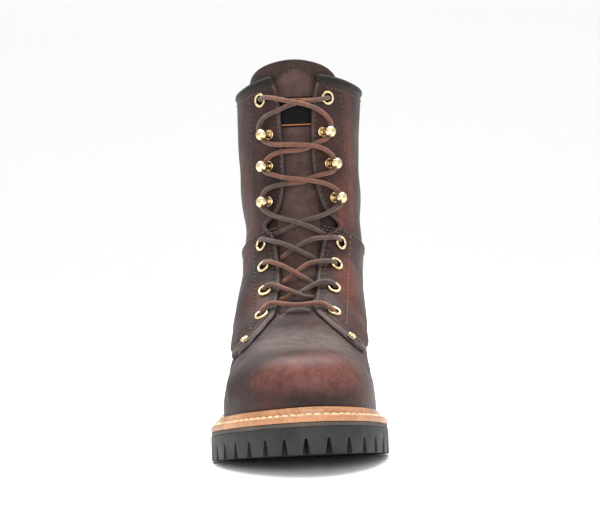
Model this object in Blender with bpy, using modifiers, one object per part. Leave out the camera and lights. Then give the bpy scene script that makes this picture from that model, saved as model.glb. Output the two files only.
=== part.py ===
"""Logger boot, right foot. Lengths in millimetres here, metres in the scene.

f is the distance forward from the back of the sole, x the side (plus is the inner side), z the height.
The tables hold lengths as shares of SOLE_LENGTH (f), BALL_WIDTH (x) and COLLAR_HEIGHT (z).
"""

import math

import bmesh
import bpy
import numpy as np
from mathutils import Matrix, Vector

SOLE_LENGTH = 312.0
BALL_WIDTH = 118.0
COLLAR_HEIGHT = 259.0
HEEL_CENTRE = 42.0  # f of the heel tread's centre, the origin
LEATHER = 2.4  # wall of the upper
GAP = 0.3
OVERLAY = 1.9  # outer face of quarters, counter and backstay above the upper
BINDING = 1.3
WELT_THICK = 4.2
MIDSOLE_THICK = 2.8
OUTSOLE_THICK = 15.0
TOE_EXTRA = 2.0  # more rubber under the toe
LUG_DEPTH = 8.5
FLANGE_FRONT = 9.5  # welt showing outside the upper at the toe
FLANGE_HEEL = 5.5
BEAD_HEIGHT = 5.0
HEEL_FRONT = 84.0
TONGUE_THICK = 6.0
TONGUE_SPACE = 1.5  # between the upper's inner face and the tongue
LABEL_THICK = 0.9
BACKSTAY_HALF = 9.2  # half of its width
BINDING_WIDTH = 6.5
LACE = 4.0
EYELET_RADIUS = 5.1
EYELET_HOLE = 3.2
HOOK_ROOM = 8.6  # a run ends this far from a hook's ball
CUT_DEPTH = 9.0  # reach of an eyelet's hole to each side of the leather
OPEN_RINGS = 26  # sections of the upper that end on the welt
CLOSED_RINGS = 10  # sections that end in the back seam
ROUND = 20

EYELET_WALL = 0.4
BALL_TREAD = 212.0  # f of the tread's flat spot under the ball
TREAD_SPAN = 14.0
TREAD_WEAR = 0.35
FLAT_WITHIN = 0.3  # degrees between faces that count as one
INSOLE_ROOM = 2.6  # between the insole's edge and the upper
WELT_STATIONS = 30
HOOK_REACH = 5.4  # from the middle of a hook's disc to its ball, seen from the front
HOOK_HEIGHT = 8.2  # middle of a hook's ball above the leather
SPLIT = -8.0  # x of the line down the front that parts the two sides
GROOVE_START = 14.0  # from the heel's breast to the first groove's space
GROOVE_PITCH = 14.7
GROOVE_WIDTH = 3.6
GROOVE_DEPTH = 19.0
GROOVE_TIP = 0.8  # width at a groove's inner end, as a share
GROOVE_FLARE = 2.2  # wider below than above
BAR_DEPTH = 6.8
HEEL_GROOVE_DEPTH = 17.0
HEEL_NARROWING = 0.075  # share lost in width from the heel's top to its tread
HEEL_SHORTENING = 0.05
HEEL_SHIFT = 1.5  # tread forward of the heel's top
BREAST_LEAN = 3.0  # tread's front edge behind the top's
HEEL_LEVELS = [(0.0, 1.0), (0.3, 0.45), (1.0, 0.0)]  # share of the height, share of the taper
RIVET_PROFILE = [(0.0, 1.6), (1.5, 1.4), (2.5, 0.8), (2.9, 0.0), (0.0, 0.0)]  # radius, height

# A hook from its disc to its ball: share of the way, height in mm, radius in mm.
HOOK_STEM = [
    (0.00, 0.0, 3.5),
    (0.00, 1.1, 3.5),
    (0.04, 1.4, 1.7),
    (0.18, 3.4, 1.5),
    (0.42, 5.6, 1.5),
    (0.66, 6.9, 2.6),
    (0.84, 7.6, 3.8),
    (1.06, 8.2, 4.2),
    (1.28, 8.6, 3.6),
    (1.46, 8.8, 1.8),
]

# Sole seen from above: f, outer half width, inner half width.
SOLE_PLAN = [
    (0.000, 0.000, 0.000),
    (0.004, 0.090, 0.090),
    (0.016, 0.170, 0.170),
    (0.035, 0.237, 0.237),
    (0.064, 0.284, 0.281),
    (0.103, 0.312, 0.307),
    (0.147, 0.322, 0.314),
    (0.212, 0.327, 0.307),
    (0.282, 0.342, 0.285),
    (0.346, 0.368, 0.268),
    (0.410, 0.405, 0.264),
    (0.474, 0.451, 0.280),
    (0.538, 0.500, 0.312),
    (0.596, 0.542, 0.347),
    (0.647, 0.575, 0.381),
    (0.692, 0.584, 0.405),
    (0.737, 0.580, 0.416),
    (0.782, 0.558, 0.412),
    (0.830, 0.514, 0.392),
    (0.875, 0.452, 0.357),
    (0.915, 0.374, 0.308),
    (0.950, 0.284, 0.244),
    (0.976, 0.194, 0.174),
    (0.993, 0.104, 0.096),
    (0.999, 0.045, 0.043),
    (1.000, 0.000, 0.000),
]

# Top of the welt seen from the side: f, z.
WELT_LINE = [
    (0.000, 0.216),
    (0.064, 0.212),
    (0.128, 0.208),
    (0.192, 0.201),
    (0.256, 0.188),
    (0.320, 0.171),
    (0.385, 0.151),
    (0.449, 0.133),
    (0.513, 0.118),
    (0.561, 0.107),
    (0.603, 0.096),
    (0.638, 0.088),
    (0.667, 0.085),
    (0.692, 0.086),
    (0.724, 0.091),
    (0.763, 0.099),
    (0.808, 0.108),
    (0.865, 0.120),
    (0.929, 0.134),
    (1.000, 0.149),
]

# Sections of the upper, each in a plane from the ridge to the welt or the back seam.
# ridge f, ridge z, ridge x, end f, end z (0: on the welt), outer and inner half width (0: just over
# the welt line), place of the widest point, ridge roundness, back closing, back roundness.
SECTIONS = [
    (0.975, 0.156, 0.000, 0.969, 0.000, 0.000, 0.000, 0.80, 2.00, 0.00, 2.20),
    (0.978, 0.185, 0.000, 0.962, 0.000, 0.000, 0.000, 0.80, 2.05, 0.00, 2.20),
    (0.975, 0.220, 0.000, 0.949, 0.000, 0.000, 0.000, 0.80, 2.15, 0.00, 2.20),
    (0.965, 0.253, -0.002, 0.928, 0.000, 0.000, 0.000, 0.80, 2.25, 0.00, 2.20),
    (0.944, 0.276, -0.005, 0.899, 0.000, 0.000, 0.000, 0.80, 2.40, 0.00, 2.20),
    (0.910, 0.289, -0.012, 0.862, 0.000, 0.000, 0.000, 0.80, 2.50, 0.00, 2.20),
    (0.865, 0.294, -0.022, 0.820, 0.000, 0.000, 0.000, 0.80, 2.55, 0.00, 2.20),
    (0.811, 0.300, -0.036, 0.774, 0.000, 0.000, 0.000, 0.80, 2.50, 0.00, 2.20),
    (0.753, 0.311, -0.049, 0.726, 0.000, 0.500, 0.356, 0.80, 2.45, 0.00, 2.20),
    (0.695, 0.329, -0.059, 0.676, 0.000, 0.500, 0.355, 0.78, 2.45, 0.00, 2.20),
    (0.647, 0.349, -0.064, 0.628, 0.000, 0.484, 0.348, 0.74, 2.45, 0.00, 2.20),
    (0.609, 0.367, -0.068, 0.577, 0.000, 0.468, 0.340, 0.68, 2.50, 0.00, 2.20),
    (0.577, 0.385, -0.066, 0.519, 0.000, 0.458, 0.336, 0.62, 2.55, 0.00, 2.20),
    (0.548, 0.405, -0.063, 0.455, 0.000, 0.450, 0.332, 0.56, 2.60, 0.00, 2.20),
    (0.524, 0.425, -0.059, 0.381, 0.000, 0.441, 0.330, 0.51, 2.60, 0.00, 2.20),
    (0.504, 0.447, -0.056, 0.301, 0.000, 0.430, 0.329, 0.47, 2.55, 0.00, 2.20),
    (0.488, 0.469, -0.052, 0.218, 0.000, 0.419, 0.327, 0.44, 2.50, 0.00, 2.20),
    (0.474, 0.491, -0.050, 0.138, 0.000, 0.409, 0.327, 0.42, 2.40, 0.15, 2.20),
    (0.464, 0.512, -0.047, 0.071, 0.000, 0.400, 0.328, 0.41, 2.35, 0.50, 2.15),
    (0.459, 0.522, -0.046, 0.049, 0.000, 0.397, 0.329, 0.41, 2.32, 0.70, 2.12),
    (0.455, 0.531, -0.045, 0.030, 0.000, 0.395, 0.330, 0.41, 2.30, 0.88, 2.10),
    (0.452, 0.540, -0.044, 0.021, 0.000, 0.393, 0.331, 0.41, 2.30, 0.97, 2.10),
    (0.448, 0.550, -0.042, 0.018, 0.201, 0.390, 0.332, 0.41, 2.30, 1.00, 2.10),
    (0.440, 0.574, -0.039, 0.011, 0.236, 0.383, 0.336, 0.41, 2.25, 1.00, 2.15),
    (0.433, 0.599, -0.036, 0.009, 0.282, 0.375, 0.339, 0.42, 2.25, 1.00, 2.20),
    (0.426, 0.631, -0.034, 0.014, 0.340, 0.368, 0.344, 0.43, 2.20, 1.00, 2.25),
    (0.420, 0.670, -0.031, 0.024, 0.404, 0.366, 0.349, 0.45, 2.20, 1.00, 2.25),
    (0.416, 0.714, -0.029, 0.035, 0.473, 0.373, 0.354, 0.47, 2.20, 1.00, 2.20),
    (0.413, 0.761, -0.028, 0.040, 0.548, 0.384, 0.358, 0.48, 2.15, 1.00, 2.20),
    (0.412, 0.809, -0.027, 0.040, 0.629, 0.390, 0.358, 0.49, 2.15, 1.00, 2.15),
    (0.410, 0.861, -0.027, 0.037, 0.722, 0.390, 0.358, 0.50, 2.15, 1.00, 2.15),
    (0.409, 0.919, -0.027, 0.032, 0.822, 0.388, 0.370, 0.50, 2.15, 1.00, 2.15),
    (0.407, 0.981, -0.027, 0.026, 0.927, 0.385, 0.386, 0.50, 2.15, 1.00, 2.15),
    (0.405, 1.096, -0.027, 0.018, 1.096, 0.384, 0.400, 0.50, 2.15, 1.00, 2.15),
]

# The welt's section: distance in from the sole's edge and height above the flange, then the same from
# the welt line outward and inward.
WELT_EDGE = [(0.3, -WELT_THICK + GAP), (0.0, -0.9), (0.9, 0.0)]
WELT_BEAD = [(-3.4, 0.0), (-2.0, BEAD_HEIGHT), (1.6, BEAD_HEIGHT), (1.6, -WELT_THICK + GAP)]

# Bars cut across the tread: f of both ends and x of both sides.
TREAD_BARS = [
    (0.395, 0.415, -0.220, 0.102),
    (0.475, 0.495, -0.254, 0.110),
    (0.555, 0.575, -0.322, 0.136),
    (0.635, 0.655, -0.373, 0.186),
    (0.715, 0.735, -0.381, 0.203),
    (0.795, 0.815, -0.339, 0.186),
    (0.865, 0.885, -0.237, 0.136),
]
BAR_BEND = 0.022  # middle of a bar ahead of its ends, as a share of SOLE_LENGTH

# Where the cutters end. f of the line between the boot's front and back, then f, z beyond the boot.
FACE_BACK = 0.2
TONGUE_BACK = 0.3
STRIP_FRONT = 0.13
BEYOND_LOW = (-0.13, 0.0)
BEYOND_HIGH = (1.06, 1.27)
BACKSTAY_SPAN = (0.367, 0.934)

# Seen from the front: x, z down each edge of the throat, then on down the front edge of the quarter.
THROAT_OUTER = [
    (-0.186, 1.050),
    (-0.169, 1.000),
    (-0.133, 0.966),
    (-0.113, 0.860),
    (-0.105, 0.790),
    (-0.114, 0.686),
    (-0.150, 0.632),
    (-0.195, 0.608),
    (-0.232, 0.593),
    (-0.225, 0.584),
    (-0.190, 0.569),
    (-0.165, 0.520),
    (-0.159, 0.437),
    (-0.178, 0.402),
    (-0.184, 0.378),
    (-0.200, 0.364),
    (-0.238, 0.348),
    (-0.296, 0.323),
    (-0.353, 0.300),
    (-0.404, 0.280),
    (-0.500, 0.242),
]
THROAT_INNER = [
    (0.135, 1.050),
    (0.120, 1.000),
    (0.086, 0.950),
    (0.065, 0.860),
    (0.058, 0.790),
    (0.075, 0.700),
    (0.110, 0.642),
    (0.160, 0.608),
    (0.208, 0.588),
    (0.200, 0.578),
    (0.135, 0.568),
    (0.090, 0.525),
    (0.056, 0.444),
    (0.047, 0.405),
    (0.030, 0.388),
    (0.034, 0.374),
    (0.068, 0.359),
    (0.121, 0.339),
    (0.175, 0.319),
    (0.231, 0.296),
    (0.276, 0.277),
    (0.380, 0.236),
]
THROAT_ROWS = 14  # rows of both tables that bound the throat itself
VAMP_FOLD = [(-0.170, 0.366), (-0.120, 0.379), (-0.066, 0.386), (-0.015, 0.382), (0.030, 0.370)]

# Seen from the side: f, z round the quarters, round the counter and along the collar.
QUARTER_SIDE = [
    (0.720, 0.258),
    (0.560, 0.266),
    (0.500, 0.283),
    (0.430, 0.312),
    (0.355, 0.338),
    (0.290, 0.352),
    (0.220, 0.360),
    (-0.060, 0.364),
    (-0.060, 0.493),
    (0.100, 0.496),
    (0.190, 0.503),
    (0.270, 0.520),
    (0.350, 0.550),
    (0.405, 0.576),
    (0.430, 0.592),
    (0.720, 0.605),
]
COUNTER_SIDE = [
    (-0.060, 0.130),
    (0.262, 0.130),
    (0.254, 0.230),
    (0.236, 0.290),
    (0.206, 0.330),
    (0.170, 0.350),
    (0.130, 0.358),
    (-0.060, 0.361),
]
COLLAR_SIDE = [
    (0.600, 1.020),
    (0.430, 1.008),
    (0.390, 0.996),
    (0.320, 0.972),
    (0.220, 0.958),
    (0.120, 0.964),
    (0.020, 0.976),
    (-0.060, 0.980),
]

# Seen from the front: x, z round the tongue and round the patch on it.
TONGUE_FRONT = [
    (-0.225, 0.345),
    (0.090, 0.345),
    (0.150, 0.430),
    (0.200, 0.560),
    (0.235, 0.750),
    (0.252, 0.900),
    (0.252, 0.960),
    (0.225, 0.995),
    (0.168, 1.020),
    (0.070, 1.037),
    (-0.040, 1.043),
    (-0.145, 1.037),
    (-0.225, 1.025),
    (-0.285, 1.002),
    (-0.305, 0.965),
    (-0.300, 0.900),
    (-0.290, 0.750),
    (-0.270, 0.560),
    (-0.245, 0.430),
]
LABEL_FRONT = [(-0.140, 0.858), (0.112, 0.858), (0.112, 0.940), (-0.140, 0.940)]

# Seen from the front: x, z of the lace's fastenings, bottom to top, then the foot rivets.
EYELETS_OUTER = [(-0.274, 0.365), (-0.250, 0.4225), (-0.254, 0.484), (-0.265, 0.542)]
EYELETS_INNER = [(0.148, 0.366), (0.155, 0.4225), (0.178, 0.482), (0.213, 0.537)]
HOOKS_OUTER = [(-0.250, 0.657), (-0.241, 0.754), (-0.233, 0.840)]
HOOKS_INNER = [(0.226, 0.660), (0.205, 0.754), (0.175, 0.841)]
TOP_EYELETS = [(-0.236, 0.935), (0.171, 0.934)]
RIVETS = [(-0.367, 0.307), (0.233, 0.303)]

# The lace's visible runs as x, z seen from the front and the height in mm above the upper's face.
# Each pair crosses; the second of a pair lies on top.
LACE_BAR = [
    (-0.275, 0.365, 1.0), (-0.265, 0.378, 4.6), (-0.236, 0.391, 5.0), (-0.173, 0.393, 5.0),
    (-0.095, 0.388, 4.6), (-0.010, 0.388, 4.6), (0.041, 0.390, 5.0), (0.103, 0.385, 5.0),
    (0.135, 0.372, 4.6), (0.151, 0.362, 1.0),
]
LACE_CROSSINGS = [
    (
        [(-0.145, 0.400, -1.2), (-0.093, 0.408, -0.4), (-0.053, 0.413, 0.9), (-0.006, 0.423, 2.2),
         (0.023, 0.430, 3.0), (0.069, 0.439, 4.8), (0.114, 0.441, 4.9), (0.153, 0.434, 4.4), (0.164, 0.423, 1.0)],
        [(0.019, 0.400, -1.0), (-0.020, 0.404, 1.0), (-0.053, 0.411, 2.4), (-0.092, 0.419, 3.7),
         (-0.170, 0.434, 5.2), (-0.215, 0.439, 4.9), (-0.243, 0.434, 4.4), (-0.255, 0.425, 1.0)],
    ),
    (
        [(-0.140, 0.442, -1.2), (-0.088, 0.456, -0.4), (-0.053, 0.468, 0.7), (0.000, 0.485, 2.6),
         (0.052, 0.492, 4.6), (0.115, 0.493, 4.9), (0.154, 0.490, 4.4), (0.174, 0.483, 1.0)],
        [(0.034, 0.434, -1.0), (0.008, 0.444, 1.0), (-0.059, 0.463, 3.2), (-0.143, 0.486, 5.0),
         (-0.187, 0.493, 4.9), (-0.233, 0.498, 4.4), (-0.253, 0.490, 1.0)],
    ),
    (
        [(-0.140, 0.506, -1.2), (-0.112, 0.515, -0.6), (-0.059, 0.529, 0.4), (0.006, 0.546, 2.8),
         (0.070, 0.554, 4.8), (0.139, 0.554, 4.9), (0.196, 0.552, 4.4), (0.209, 0.544, 1.0)],
        [(0.046, 0.500, -1.0), (0.003, 0.512, 1.8), (-0.065, 0.529, 3.4), (-0.160, 0.547, 5.0),
         (-0.234, 0.555, 4.6), (-0.262, 0.558, 4.4), (-0.274, 0.551, 1.0)],
    ),
    (
        [(-0.150, 0.572, -1.2), (-0.066, 0.590, 0.2), (-0.028, 0.598, 1.1), (0.004, 0.603, 1.4),
         (0.108, 0.614, 3.0), (0.178, 0.628, 4.0), (0.228, 0.643, 4.4), (0.222, 0.654, 4.4)],
        [(0.105, 0.566, -0.8), (0.060, 0.578, 2.0), (0.003, 0.591, 3.9), (-0.028, 0.596, 4.2),
         (-0.065, 0.602, 4.8), (-0.167, 0.616, 4.6), (-0.227, 0.630, 4.4), (-0.257, 0.643, 4.4), (-0.253, 0.654, 4.4)],
    ),
    (
        [(-0.254, 0.661, 4.4), (-0.244, 0.677, 4.2), (-0.215, 0.692, 3.8), (-0.159, 0.700, 3.0),
         (-0.083, 0.705, 2.5), (0.014, 0.709, 2.5), (0.056, 0.718, 2.8), (0.119, 0.725, 3.4),
         (0.189, 0.734, 4.2), (0.204, 0.748, 4.4)],
        [(0.222, 0.665, 4.4), (0.211, 0.677, 4.4), (0.151, 0.697, 4.9), (0.069, 0.708, 5.9),
         (0.030, 0.712, 6.1), (-0.013, 0.715, 6.1), (-0.109, 0.721, 5.8), (-0.190, 0.732, 4.8),
         (-0.231, 0.739, 4.4), (-0.240, 0.749, 4.4)],
    ),
    (
        [(-0.237, 0.760, 4.4), (-0.214, 0.770, 4.2), (-0.172, 0.785, 3.6), (-0.081, 0.793, 2.6),
         (0.023, 0.797, 2.5), (0.079, 0.809, 2.7), (0.135, 0.818, 3.6), (0.163, 0.826, 4.2), (0.172, 0.835, 4.4)],
        [(0.202, 0.762, 4.4), (0.186, 0.775, 4.6), (0.146, 0.792, 5.5), (0.078, 0.804, 6.0),
         (-0.018, 0.809, 6.1), (-0.114, 0.811, 5.6), (-0.183, 0.814, 4.8), (-0.223, 0.824, 4.4), (-0.237, 0.834, 4.4)],
    ),
    (
        [(-0.238, 0.846, 4.4), (-0.254, 0.856, 4.2), (-0.239, 0.875, 4.0), (-0.196, 0.893, 3.4),
         (-0.147, 0.901, 2.8), (-0.104, 0.910, 2.5), (-0.035, 0.921, 2.5), (0.035, 0.926, 2.6),
         (0.104, 0.929, 2.8), (0.159, 0.933, 2.6), (0.177, 0.934, 0.5)],
        [(0.175, 0.844, 4.4), (0.187, 0.863, 4.4), (0.168, 0.879, 4.6), (0.122, 0.899, 5.2),
         (0.061, 0.913, 6.0), (-0.020, 0.924, 5.9), (-0.089, 0.931, 5.6), (-0.157, 0.939, 4.0),
         (-0.219, 0.942, 2.8), (-0.236, 0.937, 0.5)],
    ),
]

# Name, colour, roughness, metallic of each material, and the material of each piece by its name's start.
MATERIALS = {
    "oiled_leather": ((0.085, 0.032, 0.027), 0.42, 0.0),
    "panel_leather": ((0.105, 0.036, 0.027), 0.40, 0.0),
    "dark_leather": ((0.020, 0.012, 0.011), 0.50, 0.0),
    "tongue_leather": ((0.055, 0.028, 0.024), 0.60, 0.0),
    "plain_patch": ((0.010, 0.009, 0.010), 0.70, 0.0),
    "tan_welt": ((0.480, 0.250, 0.110), 0.45, 0.0),
    "grey_layer": ((0.120, 0.105, 0.095), 0.70, 0.0),
    "black_rubber": ((0.012, 0.012, 0.013), 0.60, 0.0),
    "board": ((0.350, 0.260, 0.170), 0.80, 0.0),
    "brass": ((0.720, 0.520, 0.240), 0.22, 1.0),
    "lace_cord": ((0.210, 0.065, 0.030), 0.75, 0.0),
}
MATERIAL_OF = {
    "upper": "oiled_leather",
    "quarter": "panel_leather",
    "counter": "panel_leather",
    "backstay": "panel_leather",
    "collar": "dark_leather",
    "tongue": "tongue_leather",
    "tongue_label": "plain_patch",
    "welt": "tan_welt",
    "midsole": "grey_layer",
    "outsole": "black_rubber",
    "heel": "black_rubber",
    "insole": "board",
    "eyelet": "brass",
    "hook": "brass",
    "rivet": "brass",
    "lace": "lace_cord",
}

BOOT = bpy.data.collections.new("logger_boot")
CUTTERS = bpy.data.collections.new("cutters")


def clear_scene():
    for item in list(bpy.data.objects):
        bpy.data.objects.remove(item)
    bpy.context.scene.collection.children.link(BOOT)
    bpy.context.scene.collection.children.link(CUTTERS)
    CUTTERS.hide_render = True


def at(f, x, z):
    """A place in the scene, in metres."""
    return (x / 1000, (HEEL_CENTRE - f) / 1000, z / 1000)


def spline(knots, values, where):
    """A natural cubic curve through the values, one column at a time."""
    knots = np.asarray(knots, float)
    values = np.asarray(values, float)
    steps = np.diff(knots)
    count = len(knots)
    matrix = np.eye(count)
    right = np.zeros(values.shape)
    slopes = np.diff(values, axis=0) / steps[:, None]
    for i in range(1, count - 1):
        matrix[i, i - 1] = steps[i - 1]
        matrix[i, i] = 2 * (steps[i - 1] + steps[i])
        matrix[i, i + 1] = steps[i]
        right[i] = 6 * (slopes[i] - slopes[i - 1])
    bends = np.linalg.solve(matrix, right)
    cell = np.clip(np.searchsorted(knots, where, side="right") - 1, 0, count - 2)
    h = steps[cell][:, None]
    a = (knots[cell + 1] - where)[:, None] / h
    b = 1 - a
    low = values[cell]
    high = values[cell + 1]
    curve = ((a**3 - a) * bends[cell] + (b**3 - b) * bends[cell + 1]) * h * h / 6
    return a * low + b * high + curve


def sole_side(column):
    """f and half width down one side of the sole, closely spaced."""
    plan = np.array(SOLE_PLAN)
    points = np.stack([plan[:, 0] * SOLE_LENGTH, plan[:, column] * BALL_WIDTH], axis=1)
    whole = np.concatenate([points * (1, -1), points[1:-1][::-1]])
    whole = np.concatenate([whole[-3:], whole, whole[:3]])
    start = 3
    gaps = np.hypot(*np.diff(whole, axis=0).T)
    knots = np.concatenate([[0], np.cumsum(gaps)])
    where = np.linspace(knots[start], knots[start + len(points) - 1], 900)
    line = spline(knots, whole, where)
    line[:, 1] = -line[:, 1]
    return line


def inset(line, amount):
    """The same line moved inward, by an amount for each f."""
    along = np.gradient(line, axis=0)
    along /= np.linalg.norm(along, axis=1)[:, None]
    moved = line + np.stack([along[:, 1], -along[:, 0]], axis=1) * amount(line[:, 0])[:, None]
    moved = moved[moved[:, 1] > 0]
    moved = moved[np.argsort(moved[:, 0])]
    first = [moved[0, 0] - 0.05, 0]
    last = [moved[-1, 0] + 0.05, 0]
    return np.concatenate([[first], moved, [last]])


def flange(f):
    """Width of welt that shows outside the upper."""
    share = np.clip((np.asarray(f, float) - 70) / 110, 0, 1)
    share = share * share * (3 - 2 * share)
    return FLANGE_HEEL + (FLANGE_FRONT - FLANGE_HEEL) * share


SOLE_OUTER = sole_side(1)
SOLE_INNER = sole_side(2)
WELT_OUTER = inset(SOLE_OUTER, flange)
WELT_INNER = inset(SOLE_INNER, flange)
WELT_POINTS = np.array(WELT_LINE) * (SOLE_LENGTH, COLLAR_HEIGHT)


def welt_top(f):
    where = np.clip(np.atleast_1d(np.asarray(f, float)), 0, SOLE_LENGTH)
    return spline(WELT_POINTS[:, 0], WELT_POINTS[:, 1:], where)[:, 0]


def half_width(side, f):
    line = side[np.argsort(side[:, 0])]
    return np.interp(f, line[:, 0], line[:, 1])


def section_rows(open_count, closed_count):
    """The table's rows as lengths, with the half widths on the welt line added, smoothly spaced."""
    rows = []
    for row in SECTIONS:
        ridge_f, ridge_z, ridge_x, end_f, end_z, outer, inner, widest, front, closing, back = row
        end_f *= SOLE_LENGTH
        outer_end = 0.0
        inner_end = 0.0
        if end_z == 0:
            outer_end = float(half_width(WELT_OUTER, end_f))
            inner_end = float(half_width(WELT_INNER, end_f))
            end_z = (float(welt_top(end_f)[0]) - WELT_THICK + GAP) / COLLAR_HEIGHT
        lift = 0.9 + 1.0 * min(1.0, outer_end / 50)
        rows.append((
            ridge_f * SOLE_LENGTH,
            ridge_z * COLLAR_HEIGHT,
            ridge_x * BALL_WIDTH,
            end_f,
            end_z * COLLAR_HEIGHT,
            outer * BALL_WIDTH or outer_end + lift,
            inner * BALL_WIDTH or inner_end + lift,
            widest,
            front,
            closing,
            back,
            outer_end,
            inner_end,
        ))
    rows = np.array(rows)
    steps = np.hypot(np.diff(rows[:, 0]), np.diff(rows[:, 1])) + np.hypot(np.diff(rows[:, 3]), np.diff(rows[:, 4]))
    knots = np.concatenate([[0], np.cumsum(np.sqrt(steps))])
    first_closed = len([row for row in SECTIONS if row[4] == 0])
    where = np.concatenate([
        np.linspace(0, knots[first_closed - 1], open_count),
        np.linspace(knots[first_closed], knots[-1], closed_count),
    ])
    fine = spline(knots, rows, where)
    for row, place in zip(fine, where):
        if place >= knots[first_closed]:
            row[11:13] = 0
        else:
            for column, side in ((11, WELT_OUTER), (12, WELT_INNER)):
                row[column] = float(half_width(side, row[3]))
            if row[3] > 6:
                row[4] = float(welt_top(row[3])[0]) - WELT_THICK + GAP
        row[9] = min(1, max(0, row[9]))
    return fine


def half_section(row, side, count):
    """Points from the ridge to the end of one half of a section: share of the way, x."""
    wide = row[5] if side < 0 else row[6]
    end = row[11] if side < 0 else row[12]
    centre = row[2]
    reach = side * wide - centre
    angle = np.linspace(0, math.pi / 2, 40)
    front = np.stack([
        row[7] * (1 - np.cos(angle) ** (2 / row[8])),
        centre + reach * np.sin(angle) ** (2 / row[8]),
    ], axis=1)
    closed = np.stack([np.sin(angle) ** (2 / row[10]), np.cos(angle) ** (2 / row[10])], axis=1)
    share = np.linspace(0, 1, 40)
    bend = (1 + np.cos(math.pi * share)) / 2
    open_at = closed[:, 0]
    open_x = np.interp(open_at, share, bend)
    fall = row[9] * closed[:, 1] + (1 - row[9]) * open_x
    back = np.stack([
        row[7] + (1 - row[7]) * open_at,
        side * end + side * (wide - end) * fall,
    ], axis=1)
    line = np.concatenate([front, back[1:]])
    length = math.hypot(row[3] - row[0], row[4] - row[1])
    run = np.hypot(np.diff(line[:, 0]) * length, np.diff(line[:, 1]))
    run = np.concatenate([[0], np.cumsum(run)])
    where = np.linspace(0, run[-1], count)
    return np.stack([np.interp(where, run, line[:, 0]), np.interp(where, run, line[:, 1])], axis=1)


def skin(open_rings=OPEN_RINGS, closed_rings=CLOSED_RINGS, around=ROUND):
    """The outer face of the upper as a grid of f, x, z, from the toe to above the collar."""
    grid = []
    for row in section_rows(open_rings, closed_rings):
        halves = []
        for side in (-1, 1):
            half = half_section(row, side, around // 2 + 1)
            f = row[0] + (row[3] - row[0]) * half[:, 0]
            z = row[1] + (row[4] - row[1]) * half[:, 0]
            halves.append(np.stack([f, half[:, 1], z], axis=1))
        grid.append(np.concatenate([halves[0][::-1], halves[1][1:]]))
    return np.array(grid)


def tidy(work):
    bmesh.ops.remove_doubles(work, verts=work.verts, dist=0.00002)
    bmesh.ops.dissolve_degenerate(work, edges=work.edges, dist=0.00001)
    bmesh.ops.recalc_face_normals(work, faces=work.faces)


def link(item, collection=BOOT):
    """Puts an object in its collection, and hides it where it only cuts."""
    collection.objects.link(item)
    if collection is CUTTERS:
        item.hide_render = True
        item.display_type = "WIRE"
    return item


def solid(name, points, faces, collection=BOOT):
    """A loft from points in f, x, z and its faces, welded, closed and facing out."""
    single = [tuple(dict.fromkeys(face)) for face in faces]
    mesh = bpy.data.meshes.new(name)
    mesh.from_pydata([at(*p) for p in points], [], [face for face in single if len(face) > 2])
    work = bmesh.new()
    work.from_mesh(mesh)
    tidy(work)
    if work.calc_volume(signed=True) < 0:
        bmesh.ops.reverse_faces(work, faces=work.faces)
    work.to_mesh(mesh)
    work.free()
    return link(bpy.data.objects.new(name, mesh), collection)


SKIN = skin()


def normals(grid):
    """Outward directions at the grid's points."""
    count, around = grid.shape[:2]
    total = np.zeros(grid.shape)
    a = grid[:-1, :-1]
    b = grid[1:, :-1]
    c = grid[1:, 1:]
    d = grid[:-1, 1:]
    face = np.cross(c - a, d - b)
    total[:-1, :-1] += face
    total[1:, :-1] += face
    total[1:, 1:] += face
    total[:-1, 1:] += face
    for i in range(count):
        if np.linalg.norm(grid[i, 0] - grid[i, -1]) < 0.01:
            seam = total[i, 0] + total[i, -1]
            total[i, 0] = seam
            total[i, -1] = seam
    total /= np.maximum(np.linalg.norm(total, axis=2), 1e-9)[:, :, None]
    middle = total[count // 2, around // 2]
    if middle[0] < 0:
        total = -total
    return total


SKIN_NORMALS = normals(SKIN)


def halves_of(j, around):
    """How a cell of the grid is split in two, mirrored between the sides of the boot."""
    if j < around // 2:
        return ((0, 1, 2), (0, 2, 3))
    return ((0, 1, 3), (1, 2, 3))


def form(name, away, drop, collection=CUTTERS):
    """The upper's closed form moved outward by a distance, its underside lowered by a drop."""
    grid = SKIN + SKIN_NORMALS * away
    count, around = grid.shape[:2]
    open_rows = [i for i in range(count) if np.linalg.norm(SKIN[i, 0] - SKIN[i, -1]) > 0.01]
    last = open_rows[-1]
    points = [tuple(p) for p in grid.reshape(-1, 3)]
    faces = []
    for i in range(count - 1):
        for j in range(around - 1):
            k = i * around + j
            corners = (k, k + around, k + around + 1, k + 1)
            faces += [tuple(corners[n] for n in triple) for triple in halves_of(j, around)]
    # The top cap.
    top = (count - 1) * around
    faces.append(tuple(range(top, top + around - 1)))
    # A skirt down to the underside, then the underside as strips.
    lower = {}
    for i in range(last + 2):
        for j in (0, around - 1):
            p = grid[i, j]
            lower[(i, j)] = len(points) if drop else i * around + j
            if drop:
                points.append((p[0], p[1], p[2] - drop))
    seam = lower[(last + 1, 0)]
    lower[(last + 1, around - 1)] = seam
    for i in range(last + 1):
        for j in (0, around - 1):
            upper_edge = (i * around + j, (i + 1) * around + j)
            faces.append((upper_edge[0], upper_edge[1], lower[(i + 1, j)], lower[(i, j)]))
        faces.append((lower[(i, 0)], lower[(i + 1, 0)], lower[(i + 1, around - 1)], lower[(i, around - 1)]))
    # The nose: the first section closed off.
    nose = [j for j in range(around)] + [lower[(0, around - 1)], lower[(0, 0)]]
    faces.append(tuple(nose))
    return solid(name, points, faces, collection)


def prism_side(name, outline):
    """An outline of f, z drawn across the boot."""
    return prism(name, [(f, -BALL_WIDTH, z) for f, z in outline], (0, 2 * BALL_WIDTH, 0))


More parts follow.
